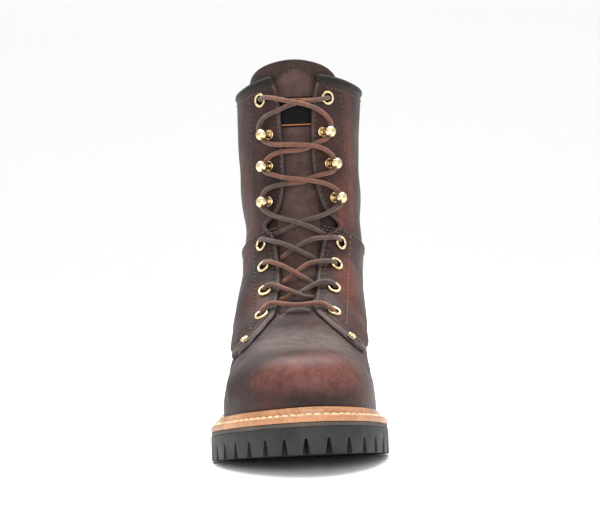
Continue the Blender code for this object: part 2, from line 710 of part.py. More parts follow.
def prism_front(name, outline, back=FACE_BACK, front_end=BEYOND_HIGH[0]):
    """An outline of x, z drawn along the boot, between two shares of its length."""
    start = back * SOLE_LENGTH
    return prism(name, [(start, x, z) for x, z in outline], (front_end * SOLE_LENGTH - start, 0, 0))


def strip_front(name, x_from, x_to, z_from, z_to, back, front_end):
    """A box seen from the front, its heights and ends as shares."""
    low = z_from * COLLAR_HEIGHT
    high = z_to * COLLAR_HEIGHT
    return prism_front(name, [(x_from, low), (x_to, low), (x_to, high), (x_from, high)], back, front_end)


def prism(name, outline, shift):
    """A flat outline pushed through space."""
    work = bmesh.new()
    face = work.faces.new([work.verts.new(at(*p)) for p in outline])
    pushed = bmesh.ops.extrude_face_region(work, geom=[face])["geom"]
    moved = [v for v in pushed if isinstance(v, bmesh.types.BMVert)]
    start = Vector(at(0, 0, 0))
    bmesh.ops.translate(work, verts=moved, vec=Vector(at(*shift)) - start)
    bmesh.ops.recalc_face_normals(work, faces=work.faces)
    mesh = bpy.data.meshes.new(name)
    work.to_mesh(mesh)
    work.free()
    return link(bpy.data.objects.new(name, mesh), CUTTERS)


def rounded(points, each=3, closed=False):
    """A smooth line through the points."""
    points = np.array(points, float)
    if closed:
        points = np.concatenate([points[-3:], points, points[:4]])
    gaps = np.sqrt(np.hypot(*np.diff(points, axis=0).T))
    knots = np.concatenate([[0], np.cumsum(gaps)])
    start = 3 if closed else 0
    end = len(points) - 4 if closed else len(points) - 1
    where = []
    for i in range(start, end):
        where += list(np.linspace(knots[i], knots[i + 1], each, endpoint=False))
    if not closed:
        where.append(knots[-1])
    return [tuple(p) for p in spline(knots, points, np.array(where))]


def front(points):
    return [(x * BALL_WIDTH, z * COLLAR_HEIGHT) for x, z in points]


def side(points):
    return [(f * SOLE_LENGTH, z * COLLAR_HEIGHT) for f, z in points]


def evaluated(item):
    """Replaces an object's mesh by what its modifiers make, cleaned."""
    graph = bpy.context.evaluated_depsgraph_get()
    mesh = bpy.data.meshes.new_from_object(item.evaluated_get(graph))
    item.modifiers.clear()
    item.data = mesh
    work = bmesh.new()
    work.from_mesh(mesh)
    tidy(work)
    bmesh.ops.dissolve_limit(work, angle_limit=math.radians(FLAT_WITHIN), verts=work.verts, edges=work.edges)
    bmesh.ops.triangulate(work, faces=work.faces)
    tidy(work)
    work.to_mesh(mesh)
    work.free()
    return item


def combine(item, others, operation):
    for other in others:
        modifier = item.modifiers.new(operation.lower(), "BOOLEAN")
        modifier.operation = operation
        modifier.solver = "EXACT"
        modifier.object = other
        bpy.context.view_layer.update()
        evaluated(item)
    return item


def drop_scraps(item):
    """Keeps an object's largest connected piece."""
    work = bmesh.new()
    work.from_mesh(item.data)
    work.verts.ensure_lookup_table()
    seen = set()
    groups = []
    for vert in work.verts:
        if vert in seen:
            continue
        group = [vert]
        seen.add(vert)
        for current in group:
            for edge in current.link_edges:
                other = edge.other_vert(current)
                if other not in seen:
                    seen.add(other)
                    group.append(other)
        groups.append(group)
    groups.sort(key=len)
    for group in groups[:-1]:
        bmesh.ops.delete(work, geom=group, context="VERTS")
    work.to_mesh(item.data)
    work.free()
    return item


def throat_outline(margin=0.0):
    """The throat as one outline seen from the front, down to the fold of the vamp."""
    left = [(x - margin, z) for x, z in rounded(front(THROAT_OUTER[:THROAT_ROWS]), 2)]
    right = [(x + margin, z) for x, z in rounded(front(THROAT_INNER[:THROAT_ROWS]), 2)]
    return left + front(VAMP_FOLD) + right[::-1]


def quarter_gap():
    """What the quarters leave open in front: the throat and the vamp below it."""
    outer = rounded(front(THROAT_OUTER), 2)
    inner = rounded(front(THROAT_INNER), 2)
    return outer + inner[::-1]


def collar_cut(name, lower=0.0):
    line = side(COLLAR_SIDE)
    line = rounded([(f, z - lower) for f, z in line], 2)
    above = side([(BEYOND_LOW[0], BEYOND_HIGH[1]), (COLLAR_SIDE[0][0], BEYOND_HIGH[1])])
    return prism_side(name, line + above)


def surface_at(x, z, away=0.0):
    """Point and outward direction, seen from the front at x, z, on the face moved outward."""
    grid = SKIN + SKIN_NORMALS * away
    best = None
    for i in range(grid.shape[0] - 1):
        for j in range(grid.shape[1] - 1):
            corners = (grid[i, j], grid[i + 1, j], grid[i + 1, j + 1], grid[i, j + 1])
            for triple in halves_of(j, grid.shape[1]):
                a, b, c = (corners[n] for n in triple)
                area = (b[1] - a[1]) * (c[2] - a[2]) - (c[1] - a[1]) * (b[2] - a[2])
                if abs(area) < 1e-9:
                    continue
                s = ((x - a[1]) * (c[2] - a[2]) - (c[1] - a[1]) * (z - a[2])) / area
                t = ((b[1] - a[1]) * (z - a[2]) - (x - a[1]) * (b[2] - a[2])) / area
                if s < -1e-6 or t < -1e-6 or s + t > 1 + 1e-6:
                    continue
                point = a + s * (b - a) + t * (c - a)
                way = np.cross(b - a, c - a)
                way = way / np.linalg.norm(way) * (1 if way[0] > 0 else -1)
                if best is None or point[0] > best[0][0]:
                    best = (point, way)
    return best


def seat(x, z, away, radius):
    """Where a flat disc rests on the face moved outward: its centre and outward direction."""
    centre, _ = surface_at(x, z, away)
    rim = []
    for reach_out in (radius, radius / 2):
        for k in range(12):
            angle = math.pi * k / 6
            place = (x + reach_out * math.cos(angle), z + reach_out * math.sin(angle))
            rim.append(surface_at(*place, away)[0])
    way = np.cross(rim[0] - rim[6], rim[3] - rim[9])
    way = way / np.linalg.norm(way) * (1 if way[0] > 0 else -1)
    rise = max(0.0, max(float(np.dot(p - centre, way)) for p in rim))
    return centre + way * rise, way


def facing(item, point, way):
    """Turns an object made along +Z to look outward from a point of the boot."""
    direction = Vector((way[1], -way[0], way[2]))
    item.matrix_world = Matrix.Translation(at(*point)) @ direction.to_track_quat("Z", "Y").to_matrix().to_4x4()
    return item


def turned(name, profile, point, way, sides=10):
    """A profile of radius, height turned round the outward direction at a point."""
    mesh = bpy.data.meshes.new(name)
    corners = [(radius / 1000, 0, height / 1000) for radius, height in profile]
    edges = [(k, k + 1) for k in range(len(corners) - 1)]
    if profile[0][0] > 0:
        edges.append((len(corners) - 1, 0))
    mesh.from_pydata(corners, edges, [])
    item = link(bpy.data.objects.new(name, mesh))
    screw = item.modifiers.new("turn", "SCREW")
    screw.axis = "Z"
    screw.angle = 2 * math.pi
    screw.steps = sides
    screw.render_steps = sides
    screw.use_merge_vertices = True
    screw.merge_threshold = 0.00001
    screw.use_normal_calculate = True
    facing(item, point, way)
    return evaluated(item)


def pin(name, radius, point, way):
    """A round cutter through the leather."""
    work = bmesh.new()
    bmesh.ops.create_cone(
        work, cap_ends=True, segments=12, radius1=radius / 1000, radius2=radius / 1000, depth=2 * CUT_DEPTH / 1000
    )
    mesh = bpy.data.meshes.new(name)
    work.to_mesh(mesh)
    work.free()
    return facing(link(bpy.data.objects.new(name, mesh), CUTTERS), point, way)


def tube(name, path, radius, collection=BOOT, widths=None):
    """A round bar along a path, as a bevelled curve made into a mesh."""
    curve = bpy.data.curves.new(name, "CURVE")
    curve.dimensions = "3D"
    curve.bevel_depth = radius / 1000
    curve.bevel_resolution = 1
    curve.use_fill_caps = True
    line = curve.splines.new("POLY")
    line.points.add(len(path) - 1)
    for k, p in enumerate(path):
        line.points[k].co = (*at(*p), 1)
        line.points[k].radius = widths[k] if widths else 1.0
    bar = bpy.data.objects.new(name + "_curve", curve)
    bpy.context.scene.collection.objects.link(bar)
    bpy.context.view_layer.update()
    mesh = bpy.data.meshes.new_from_object(bar.evaluated_get(bpy.context.evaluated_depsgraph_get()))
    bpy.data.objects.remove(bar)
    work = bmesh.new()
    work.from_mesh(mesh)
    tidy(work)
    work.to_mesh(mesh)
    work.free()
    mesh.name = name
    return link(bpy.data.objects.new(name, mesh), collection)


def slab(name, outer, inner, low, high, stations):
    """A sheet between two side lines, from a lower to an upper height for each f."""
    points = []
    faces = []
    for f in stations:
        a = -float(half_width(outer, f))
        b = float(half_width(inner, f))
        for z in (low(f), high(f)):
            points += [(f, a, z), (f, (a + b) / 2, z), (f, b, z)]
    count = len(stations)
    for i in range(count - 1):
        k = 6 * i
        n = k + 6
        faces.append((k, k + 1, n + 1, n))
        faces.append((k + 1, k + 2, n + 2, n + 1))
        faces.append((k + 3, k + 4, n + 4, n + 3))
        faces.append((k + 4, k + 5, n + 5, n + 4))
        faces.append((k, n, n + 3, k + 3))
        faces.append((k + 2, n + 2, n + 5, k + 5))
    faces.append((0, 1, 2, 5, 4, 3))
    k = 6 * (count - 1)
    faces.append((k, k + 1, k + 2, k + 5, k + 4, k + 3))
    return solid(name, points, faces)


def spaced(start, end, count, round_start=True, round_end=True):
    """Places between two f, closer together at an end that is round."""
    share = np.linspace(0, 1, count)
    a = math.pi if round_start else math.pi / 2
    b = 0 if round_end else math.pi / 2
    if not round_start and not round_end:
        return start + (end - start) * share
    angle = a + (b - a) * share
    wave = np.cos(angle)
    wave = (wave - wave[0]) / (wave[-1] - wave[0])
    return start + (end - start) * (0.7 * wave + 0.3 * share)


def top_of(line, offset):
    return lambda f: float(line(f)[0]) - offset


def moved_in(amount):
    """Both side lines of the sole moved in by the same amount."""
    return (
        inset(SOLE_OUTER, lambda f: np.full(np.shape(f), amount)),
        inset(SOLE_INNER, lambda f: np.full(np.shape(f), amount)),
    )


def reach(lines, count, start=None, end=None):
    low = max(lines[0][0, 0], lines[1][0, 0]) if start is None else start
    high = min(lines[0][-1, 0], lines[1][-1, 0]) if end is None else end
    return spaced(low, high, count, start is None, end is None)


def make_welt():
    """The flange with its bead, as a loop of sections round the upper."""
    loops = []
    outline = []
    for line, sign in ((SOLE_OUTER, -1), (SOLE_INNER, 1)):
        line = line[np.argsort(line[:, 0])]
        where = spaced(0, len(line) - 1, WELT_STATIONS)
        points = np.stack([
            np.interp(where, np.arange(len(line)), line[:, 0]),
            sign * np.interp(where, np.arange(len(line)), line[:, 1]),
        ], axis=1)
        outline.append(points)
    loop = np.concatenate([outline[0], outline[1][-2:0:-1]])
    along = np.roll(loop, -1, axis=0) - np.roll(loop, 1, axis=0)
    along /= np.linalg.norm(along, axis=1)[:, None]
    inward = np.stack([along[:, 1], -along[:, 0]], axis=1)
    centre = np.array([SOLE_LENGTH / 2, 0])
    if np.dot(inward[5], centre - loop[5]) < 0:
        inward = -inward
    for p, way in zip(loop, inward):
        width = float(flange(p[0]))
        profile = WELT_EDGE + [(width + d, h) for d, h in WELT_BEAD]
        loops.append([(*(p + way * d), float(welt_top(p[0] + way[0] * d)[0]) + h) for d, h in profile])
    size = len(loops[0])
    points = [q for ring in loops for q in ring]
    faces = []
    for i in range(len(loops)):
        n = (i + 1) % len(loops)
        for k in range(size):
            m = (k + 1) % size
            faces.append((i * size + k, i * size + m, n * size + m, n * size + k))
    welt = solid("welt", points, faces)
    return drop_scraps(combine(welt, [form("welt_bore", GAP, 6.0)], "DIFFERENCE"))


def groove_boxes(name, stations, high, depth):
    """Wedges that cut radial grooves into the edge of the sole. Each station: point, inward way, z."""
    width = GROOVE_WIDTH
    points = []
    faces = []
    for p, way, floor in stations:
        cross = np.array([-way[1], way[0]])
        base = len(points)
        for d, spread in ((-2 * GROOVE_WIDTH, width), (depth, width * GROOVE_TIP)):
            for z, flare in ((-LUG_DEPTH, GROOVE_FLARE), (high, 1 / GROOVE_FLARE)):
                for sign in (-1, 1):
                    q = p + way * d + cross * sign * spread * flare / 2
                    points.append((q[0], q[1], floor + z))
        faces += [tuple(base + k for k in quad) for quad in (
            (0, 1, 3, 2), (4, 5, 7, 6), (0, 1, 5, 4), (2, 3, 7, 6), (0, 2, 6, 4), (1, 3, 7, 5)
        )]
    return solid(name, points, faces, CUTTERS)


def edge_stations(pitch, start, end, floor):
    """Places round the front of the sole, evenly spaced along its edge."""
    outer = SOLE_OUTER[np.argsort(SOLE_OUTER[:, 0])]
    inner = SOLE_INNER[np.argsort(SOLE_INNER[:, 0])]
    loop = np.concatenate([outer * (1, -1), inner[-2::-1]])
    loop = loop[(loop[:, 0] >= start) & (loop[:, 0] <= end)]
    gaps = np.hypot(*np.diff(loop, axis=0).T)
    run = np.concatenate([[0], np.cumsum(gaps)])
    count = int(run[-1] / pitch)
    where = (np.arange(count) + 0.5) * run[-1] / count
    found = []
    for w in where:
        p = np.array([np.interp(w, run, loop[:, 0]), np.interp(w, run, loop[:, 1])])
        a = np.array([np.interp(w - 2, run, loop[:, 0]), np.interp(w - 2, run, loop[:, 1])])
        b = np.array([np.interp(w + 2, run, loop[:, 0]), np.interp(w + 2, run, loop[:, 1])])
        way = np.array([b[1] - a[1], -(b[0] - a[0])])
        way /= np.linalg.norm(way)
        if np.dot(way, np.array([0.62 * SOLE_LENGTH, -6.0]) - p) < 0:
            way = -way
        found.append((p, way, float(floor(p[0]))))
    return found


def sole_floor(f):
    """Underside of the lugs, flat on the ground under the ball."""
    share = min(1.0, max(0.0, (f / SOLE_LENGTH - 0.70) / 0.30))
    floor = float(welt_top(f)[0]) - WELT_THICK - MIDSOLE_THICK - OUTSOLE_THICK - TOE_EXTRA * share
    under_ball = math.exp(-((f - BALL_TREAD) / TREAD_SPAN) ** 2)
    return max(0.0, floor - TREAD_WEAR * (1 + 2 * under_ball))


def make_sole():
    lines = moved_in(0.5)
    midsole = slab(
        "midsole", *lines,
        top_of(welt_top, WELT_THICK + MIDSOLE_THICK - GAP), top_of(welt_top, WELT_THICK),
        reach(lines, 34),
    )
    lines = (SOLE_OUTER, SOLE_INNER)
    stations = list(reach(lines, 34))
    cut = HEEL_FRONT + 1
    stations = sorted([f for f in stations if abs(f - cut) > 3] + [cut - 0.5, cut + 0.5])
    outsole = slab(
        "outsole", *lines,
        lambda f: sole_floor(f) + (LUG_DEPTH if f < cut else 0),
        top_of(welt_top, WELT_THICK + MIDSOLE_THICK),
        stations,
    )
    edges = edge_stations(GROOVE_PITCH, cut + GROOVE_START, SOLE_LENGTH, sole_floor)
    wedges = groove_boxes("edge_grooves", edges, LUG_DEPTH + 1.5, GROOVE_DEPTH)
    points = []
    faces = []
    for f0, f1, x0, x1 in TREAD_BARS:
        base = len(points)
        middle = (x0 + x1) / 2
        floor = sole_floor((f0 + f1) / 2 * SOLE_LENGTH)
        bent = [(f0, x0), (f0 + BAR_BEND, middle), (f0, x1), (f1, x1), (f1 + BAR_BEND, middle), (f1, x0)]
        for z in (-BAR_DEPTH, BAR_DEPTH):
            for f, x in bent:
                points.append((f * SOLE_LENGTH, x * BALL_WIDTH, floor + z))
        faces.append(tuple(base + k for k in range(6)))
        faces.append(tuple(base + 6 + k for k in range(6)))
        for k in range(6):
            n = (k + 1) % 6
            faces.append((base + k, base + n, base + 6 + n, base + 6 + k))
    bars = solid("tread_bars", points, faces, CUTTERS)
    combine(outsole, [wedges, bars], "DIFFERENCE")
    return midsole, outsole


def make_heel():
    """The heel block, tapered a little down to its tread, with grooves round its foot."""
    count = 14
    points = []
    faces = []
    for share, taper in HEEL_LEVELS:
        ring = []
        for line, sign in ((SOLE_OUTER, -1), (SOLE_INNER, 1)):
            ordered = line[np.argsort(line[:, 0])]
            half = []
            for f in spaced(0.0, HEEL_FRONT, count, True, False):
                x = sign * float(half_width(ordered, f))
                half.append((f, x))
            ring.append(half)
        loop = ring[0] + ring[1][:0:-1]
        for f, x in loop:
            pull = 1 - HEEL_NARROWING * taper
            top = sole_floor(f) + LUG_DEPTH - GAP
            place = HEEL_CENTRE + (f - HEEL_CENTRE) * (1 - HEEL_SHORTENING * taper) + HEEL_SHIFT * taper
            lean = -BREAST_LEAN * taper if f > HEEL_FRONT - 1 else 0.0
            points.append((place + lean, x * pull, top * share))
    size = len(points) // 3
    for level in range(2):
        for k in range(size):
            n = (k + 1) % size
            faces.append((level * size + k, level * size + n, (level + 1) * size + n, (level + 1) * size + k))
    faces.append(tuple(range(size)))
    top = list(range(2 * size, 3 * size))
    half = count
    for k in range(half - 1):
        a = top[k]
        b = top[k + 1]
        c = top[(size - k - 1) % size]
        d = top[(size - k) % size]
        if k == 0:
            faces.append((a, b, c))
        elif b == c:
            faces.append((a, b, d))
        else:
            faces.append((a, b, c, d))
    heel = solid("heel", points, faces)
    stations = []
    for p, way, _ in edge_stations(GROOVE_PITCH, 0.0, HEEL_FRONT - GROOVE_WIDTH, lambda f: 0.0):
        middle = np.array([HEEL_CENTRE, 0.0])
        if p[0] > HEEL_FRONT - 2 * GROOVE_WIDTH:
            continue
        way = (middle - p) / np.linalg.norm(middle - p)
        stations.append((p, way, 0.0))
    wedges = groove_boxes("heel_grooves", stations, LUG_DEPTH, HEEL_GROOVE_DEPTH)
    return combine(heel, [wedges], "DIFFERENCE")


def make_insole():
    lines = (
        inset(SOLE_OUTER, lambda f: flange(f) + LEATHER + INSOLE_ROOM),
        inset(SOLE_INNER, lambda f: flange(f) + LEATHER + INSOLE_ROOM),
    )
    return slab(
        "insole", *lines,
        top_of(welt_top, WELT_THICK - GAP), top_of(welt_top, -0.4),
        reach(lines, 30),
    )


def fastening_places():
    """Each fastening: kind, name, x, z, on a quarter."""
    found = []
    for name, places in (("lateral", EYELETS_OUTER), ("medial", EYELETS_INNER)):
        for k, (x, z) in enumerate(front(places)):
            found.append(("eyelet", f"eyelet_{name}_{k + 1}", x, z, True))
    for name, places in (("lateral", HOOKS_OUTER), ("medial", HOOKS_INNER)):
        for k, (x, z) in enumerate(front(places)):
            found.append(("hook", f"hook_{name}_{k + 1}", x, z, False))
    for name, (x, z) in zip(("lateral", "medial"), front(TOP_EYELETS)):
        found.append(("eyelet", f"eyelet_{name}_5", x, z, False))
    for name, (x, z) in zip(("lateral", "medial"), front(RIVETS)):
        found.append(("rivet", f"rivet_{name}", x, z, True))
    return found


def make_upper(holes):
    upper = form("upper", 0.0, 0.0, BOOT)
    inside = form("upper_inside", -LEATHER, 5.0)
    throat = prism_front("throat", throat_outline(GAP))
    return drop_scraps(combine(upper, [inside, collar_cut("collar_top"), throat] + holes, "DIFFERENCE"))


def shell(name, low, high, keep, remove):
    """A panel lying on the upper: between two forms, kept inside some cutters and outside others."""
    panel = form(name, high, 2.0, BOOT)
    combine(panel, keep, "INTERSECT")
    combine(panel, [form(name + "_inner", low, 4.0)] + remove, "DIFFERENCE")
    return drop_scraps(panel)


def make_panels(holes):
    low, high = BEYOND_LOW[1], BEYOND_HIGH[1]
    gap = prism_front("quarter_gap", quarter_gap())
    room = BACKSTAY_HALF + GAP
    back = strip_front("back_strip", -room, room, low, high, BEYOND_LOW[0], STRIP_FRONT)
    quarter = side(QUARTER_SIDE)
    for name, x_from, x_to in (("lateral", -BALL_WIDTH, SPLIT), ("medial", SPLIT, BALL_WIDTH)):
        keep = prism_side("quarter_side_" + name, quarter)
        half = strip_front("half_" + name, x_from, x_to, low, high, BEYOND_LOW[0], BEYOND_HIGH[0])
        shell("quarter_" + name, GAP, OVERLAY, [keep, half], [gap, back] + holes)
    counter = prism_side("counter_side", side(COUNTER_SIDE))
    welt_room = form_below_bead()
    shell("counter", GAP, OVERLAY, [counter], [welt_room])
    strip = strip_front("strip", -BACKSTAY_HALF, BACKSTAY_HALF, *BACKSTAY_SPAN, BEYOND_LOW[0], STRIP_FRONT)
    shell("backstay", GAP, OVERLAY, [strip], [])
    band = collar_cut("binding_lower", BINDING_WIDTH)
    above = collar_cut("binding_above")
    throat = prism_front("throat_binding", throat_outline(GAP))
    shell("collar_binding", GAP, BINDING, [band], [above, throat])


def form_below_bead():
    """Room for the welt's bead under the counter."""
    line = []
    for f in np.linspace(-20, 110, 14):
        line.append((f, float(welt_top(max(f, 0.0))[0]) + BEAD_HEIGHT + GAP))
    return prism_side("bead_room", line + [(110, 10), (-20, 10)])


def make_tongue():
    depth = -LEATHER - TONGUE_SPACE
    outline = rounded(front(TONGUE_FRONT), 2, closed=True)
    keep = prism_front("tongue_front", outline, TONGUE_BACK)
    tongue = form("tongue", depth, 2.0, BOOT)
    combine(tongue, [keep], "INTERSECT")
    combine(tongue, [form("tongue_inner", depth - TONGUE_THICK, 4.0)], "DIFFERENCE")
    drop_scraps(tongue)
    keep = prism_front("label_front", front(LABEL_FRONT))
    label = form("tongue_label", depth + GAP + LABEL_THICK, 2.0, BOOT)
    combine(label, [keep], "INTERSECT")
    combine(label, [form("label_inner", depth + GAP, 4.0)], "DIFFERENCE")
    drop_scraps(label)


def eyelet_profile(depth):
    """A rolled ring over a short barrel that passes through the leather."""
    barrel = EYELET_HOLE - GAP
    bore = barrel - EYELET_WALL
    return [
        (bore + 0.3, 1.6),
        (EYELET_RADIUS - 0.5, 1.3),
        (EYELET_RADIUS, 0.0),
        (barrel, 0.0),
        (barrel, -depth),
        (bore, -depth),
    ]


def make_hook(name, x, z):
    """A speed hook: a disc on the leather and a ball further out on a bent neck."""
    ball, way = surface_at(x, z, HOOK_HEIGHT)
    ball_foot = ball - way * HOOK_HEIGHT
    foot, _ = seat(x - math.copysign(HOOK_REACH, x), z, GAP, HOOK_STEM[0][2])
    path = [foot + (ball_foot - foot) * share + way * height for share, height, _ in HOOK_STEM]
    tube(name, path, 1.0, BOOT, [radius for _, _, radius in HOOK_STEM])


def make_fastenings():
    for kind, name, x, z, quarter in fastening_places():
        base = (OVERLAY if quarter else 0.0) + GAP
        if kind == "eyelet":
            point, way = seat(x, z, base, EYELET_RADIUS)
            turned(name, eyelet_profile(base + LEATHER), point, way, 9)
        elif kind == "rivet":
            point, way = seat(x, z, base, RIVET_PROFILE[-2][0])
            turned(name, RIVET_PROFILE, point, way, 8)
        else:
            make_hook(name, x, z)


def lace_path(run, fastenings):
    """The clear middle of a run: smooth, and ending short of the eyelets and hooks."""
    points = rounded([(x * BALL_WIDTH, z * COLLAR_HEIGHT, height) for x, z, height in run], 2)
    kept = []
    for x, z, height in points:
        near = any(math.hypot(x - fx, z - fz) < room for fx, fz, room in fastenings)
        if not near:
            kept.append(surface_at(x, z, height)[0])
    return kept


def make_laces():
    """The bar at the bottom, then each crossing as one joined piece."""
    fastenings = []
    for kind, name, x, z, quarter in fastening_places():
        if kind != "rivet":
            fastenings.append((x, z, LACE / 2 + (EYELET_RADIUS + 0.6 if kind == "eyelet" else HOOK_ROOM)))
    tube("lace_1", lace_path(LACE_BAR, fastenings), LACE / 2)
    for number, (under, over) in enumerate(LACE_CROSSINGS, 2):
        low = tube(f"lace_{number}", lace_path(under, fastenings), LACE / 2)
        high = tube(f"lace_{number}_over", lace_path(over, fastenings), LACE / 2, CUTTERS)
        combine(low, [high], "UNION")


def paint():
    """Gives each piece its material."""
    made = {}
    for name, (colour, roughness, metallic) in MATERIALS.items():
        material = bpy.data.materials.new(name)
        material.use_nodes = True
        shader = material.node_tree.nodes["Principled BSDF"]
        shader.inputs["Base Color"].default_value = (*colour, 1)
        shader.inputs["Roughness"].default_value = roughness
        shader.inputs["Metallic"].default_value = metallic
        made[name] = material
    for item in BOOT.objects:
        matching = [start for start in MATERIAL_OF if item.name.startswith(start)]
        item.data.materials.clear()
        item.data.materials.append(made[MATERIAL_OF[max(matching, key=len)]])
        item.data.shade_smooth()
        item.data.set_sharp_from_angle(angle=math.radians(35))


def main():
    clear_scene()
    make_sole()
    make_heel()
    make_welt()
    make_insole()
    holes = []
    quarter_holes = []
    for kind, name, x, z, quarter in fastening_places():
        if kind == "eyelet":
            point, way = seat(x, z, (OVERLAY if quarter else 0.0) + GAP, EYELET_RADIUS)
            holes.append(pin(name + "_hole", EYELET_HOLE, point, way))
            if quarter:
                quarter_holes.append(holes[-1])
    make_upper(holes)
    make_panels(quarter_holes)
    make_tongue()
    make_fastenings()
    make_laces()
    paint()


main()
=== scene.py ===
"""Looks of the logger boot: oiled leather, stitches, brass, laces, tan welt and lugged rubber.

Lengths are in millimetres here, metres in the scene. f is the distance forward from the back of the
sole, x the side (plus is the inner side), z the height. The tables hold lengths as shares of
SOLE_LENGTH (f), BALL_WIDTH (x) and COLLAR_HEIGHT (z).
"""

import math

import bmesh
import bpy
import numpy as np
from mathutils import Matrix, Vector
from mathutils.bvhtree import BVHTree


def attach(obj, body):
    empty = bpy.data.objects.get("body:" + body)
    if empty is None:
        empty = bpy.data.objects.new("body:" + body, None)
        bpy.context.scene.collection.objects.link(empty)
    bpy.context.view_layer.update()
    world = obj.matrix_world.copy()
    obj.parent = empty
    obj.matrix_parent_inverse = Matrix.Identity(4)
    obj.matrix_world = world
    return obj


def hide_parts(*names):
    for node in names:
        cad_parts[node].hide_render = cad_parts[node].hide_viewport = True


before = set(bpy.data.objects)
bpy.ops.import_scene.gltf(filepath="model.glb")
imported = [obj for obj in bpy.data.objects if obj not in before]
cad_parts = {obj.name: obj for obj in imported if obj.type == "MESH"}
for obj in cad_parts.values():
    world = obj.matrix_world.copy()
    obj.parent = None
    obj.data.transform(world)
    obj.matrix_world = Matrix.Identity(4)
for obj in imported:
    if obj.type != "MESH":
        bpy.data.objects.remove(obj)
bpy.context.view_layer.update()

SOLE_LENGTH = 312.0
BALL_WIDTH = 118.0
COLLAR_HEIGHT = 259.0
HEEL_CENTRE = 42.0  # f of the heel tread's centre, the origin
LEATHER = 2.4  # wall of the upper
GAP = 0.3
OVERLAY = 1.9  # outer face of quarters, counter and backstay above the upper
BINDING = 1.3
WELT_THICK = 4.2
MIDSOLE_THICK = 2.8
OUTSOLE_THICK = 15.0
TOE_EXTRA = 2.0  # more rubber under the toe
LUG_DEPTH = 8.5
FLANGE_FRONT = 9.5  # welt showing outside the upper at the toe
FLANGE_HEEL = 5.5
BEAD_HEIGHT = 5.0
HEEL_FRONT = 84.0
TONGUE_THICK = 6.0
TONGUE_SPACE = 1.5  # between the upper's inner face and the tongue
LABEL_THICK = 0.9
BACKSTAY_HALF = 9.2  # half of its width
BINDING_WIDTH = 6.5
EYELET_RADIUS = 5.1
EYELET_HOLE = 3.2
BALL_TREAD = 212.0  # f of the tread's flat spot under the ball
TREAD_SPAN = 14.0
TREAD_WEAR = 0.35
HOOK_REACH = 5.4  # from the middle of a hook's disc to its ball, seen from the front
HOOK_HEIGHT = 8.2  # middle of a hook's ball above the leather
SPLIT = -8.0  # x of the line down the front that parts the two sides
GROOVE_START = 14.0  # from the heel's breast to the first groove's space
GROOVE_PITCH = 14.7
GROOVE_WIDTH = 3.6
GROOVE_DEPTH = 19.0
GROOVE_TIP = 0.8  # width at a groove's inner end, as a share
GROOVE_FLARE = 2.2  # wider below than above
BAR_DEPTH = 6.8
HEEL_GROOVE_DEPTH = 17.0
HEEL_NARROWING = 0.075  # share lost in width from the heel's top to its tread
HEEL_SHORTENING = 0.05
HEEL_SHIFT = 1.5  # tread forward of the heel's top
BREAST_LEAN = 3.0  # tread's front edge behind the top's
HOOK_DISC = 3.5  # radius
# Share of the way from disc to ball, height in mm and, along the neck, its radius.
HOOK_NECK = [(0.0, 0.8, 1.6), (0.04, 1.4, 1.5), (0.18, 3.4, 1.5), (0.42, 5.6, 1.5), (0.66, 6.9, 1.5)]
HOOK_BALL = (1.06, 8.2)
BALL_RADIUS = 4.2

OPEN_RINGS = 130  # sections of the upper that end on the welt
CLOSED_RINGS = 80  # sections that end in the back seam
ROUND = 120
FINE = 160  # points on one half of a section before it is spaced evenly
STITCH = 3.4
EDGE_STATIONS = 360  # points round the sole's edge
FACING_PITCH = 4.2  # sewn rows of the quarters
SHAFT_PITCH = 3.8  # upright rows of the shaft
THREAD = 0.42  # radius of the sewing thread
WELT_PITCH = 5.4
WELT_STITCH = 5.6  # length of one stitch of the welt
WELT_THREAD = 0.85
CORD = 3.4  # the lace's width, drawn tight
LAST_TUCKED = 5  # last lace run that comes out from under the throat's edge

# Sole seen from above: f, outer half width, inner half width.
SOLE_PLAN = [
    (0.000, 0.000, 0.000), (0.004, 0.090, 0.090), (0.016, 0.170, 0.170), (0.035, 0.237, 0.237),
    (0.064, 0.284, 0.281), (0.103, 0.312, 0.307), (0.147, 0.322, 0.314), (0.212, 0.327, 0.307),
    (0.282, 0.342, 0.285), (0.346, 0.368, 0.268), (0.410, 0.405, 0.264), (0.474, 0.451, 0.280),
    (0.538, 0.500, 0.312), (0.596, 0.542, 0.347), (0.647, 0.575, 0.381), (0.692, 0.584, 0.405),
    (0.737, 0.580, 0.416), (0.782, 0.558, 0.412), (0.830, 0.514, 0.392), (0.875, 0.452, 0.357),
    (0.915, 0.374, 0.308), (0.950, 0.284, 0.244), (0.976, 0.194, 0.174), (0.993, 0.104, 0.096),
    (0.999, 0.045, 0.043), (1.000, 0.000, 0.000),
]

# Top of the welt seen from the side: f, z.
WELT_LINE = [
    (0.000, 0.216), (0.064, 0.212), (0.128, 0.208), (0.192, 0.201), (0.256, 0.188), (0.320, 0.171),
    (0.385, 0.151), (0.449, 0.133), (0.513, 0.118), (0.561, 0.107), (0.603, 0.096), (0.638, 0.088),
    (0.667, 0.085), (0.692, 0.086), (0.724, 0.091), (0.763, 0.099), (0.808, 0.108), (0.865, 0.120),
    (0.929, 0.134), (1.000, 0.149),
]

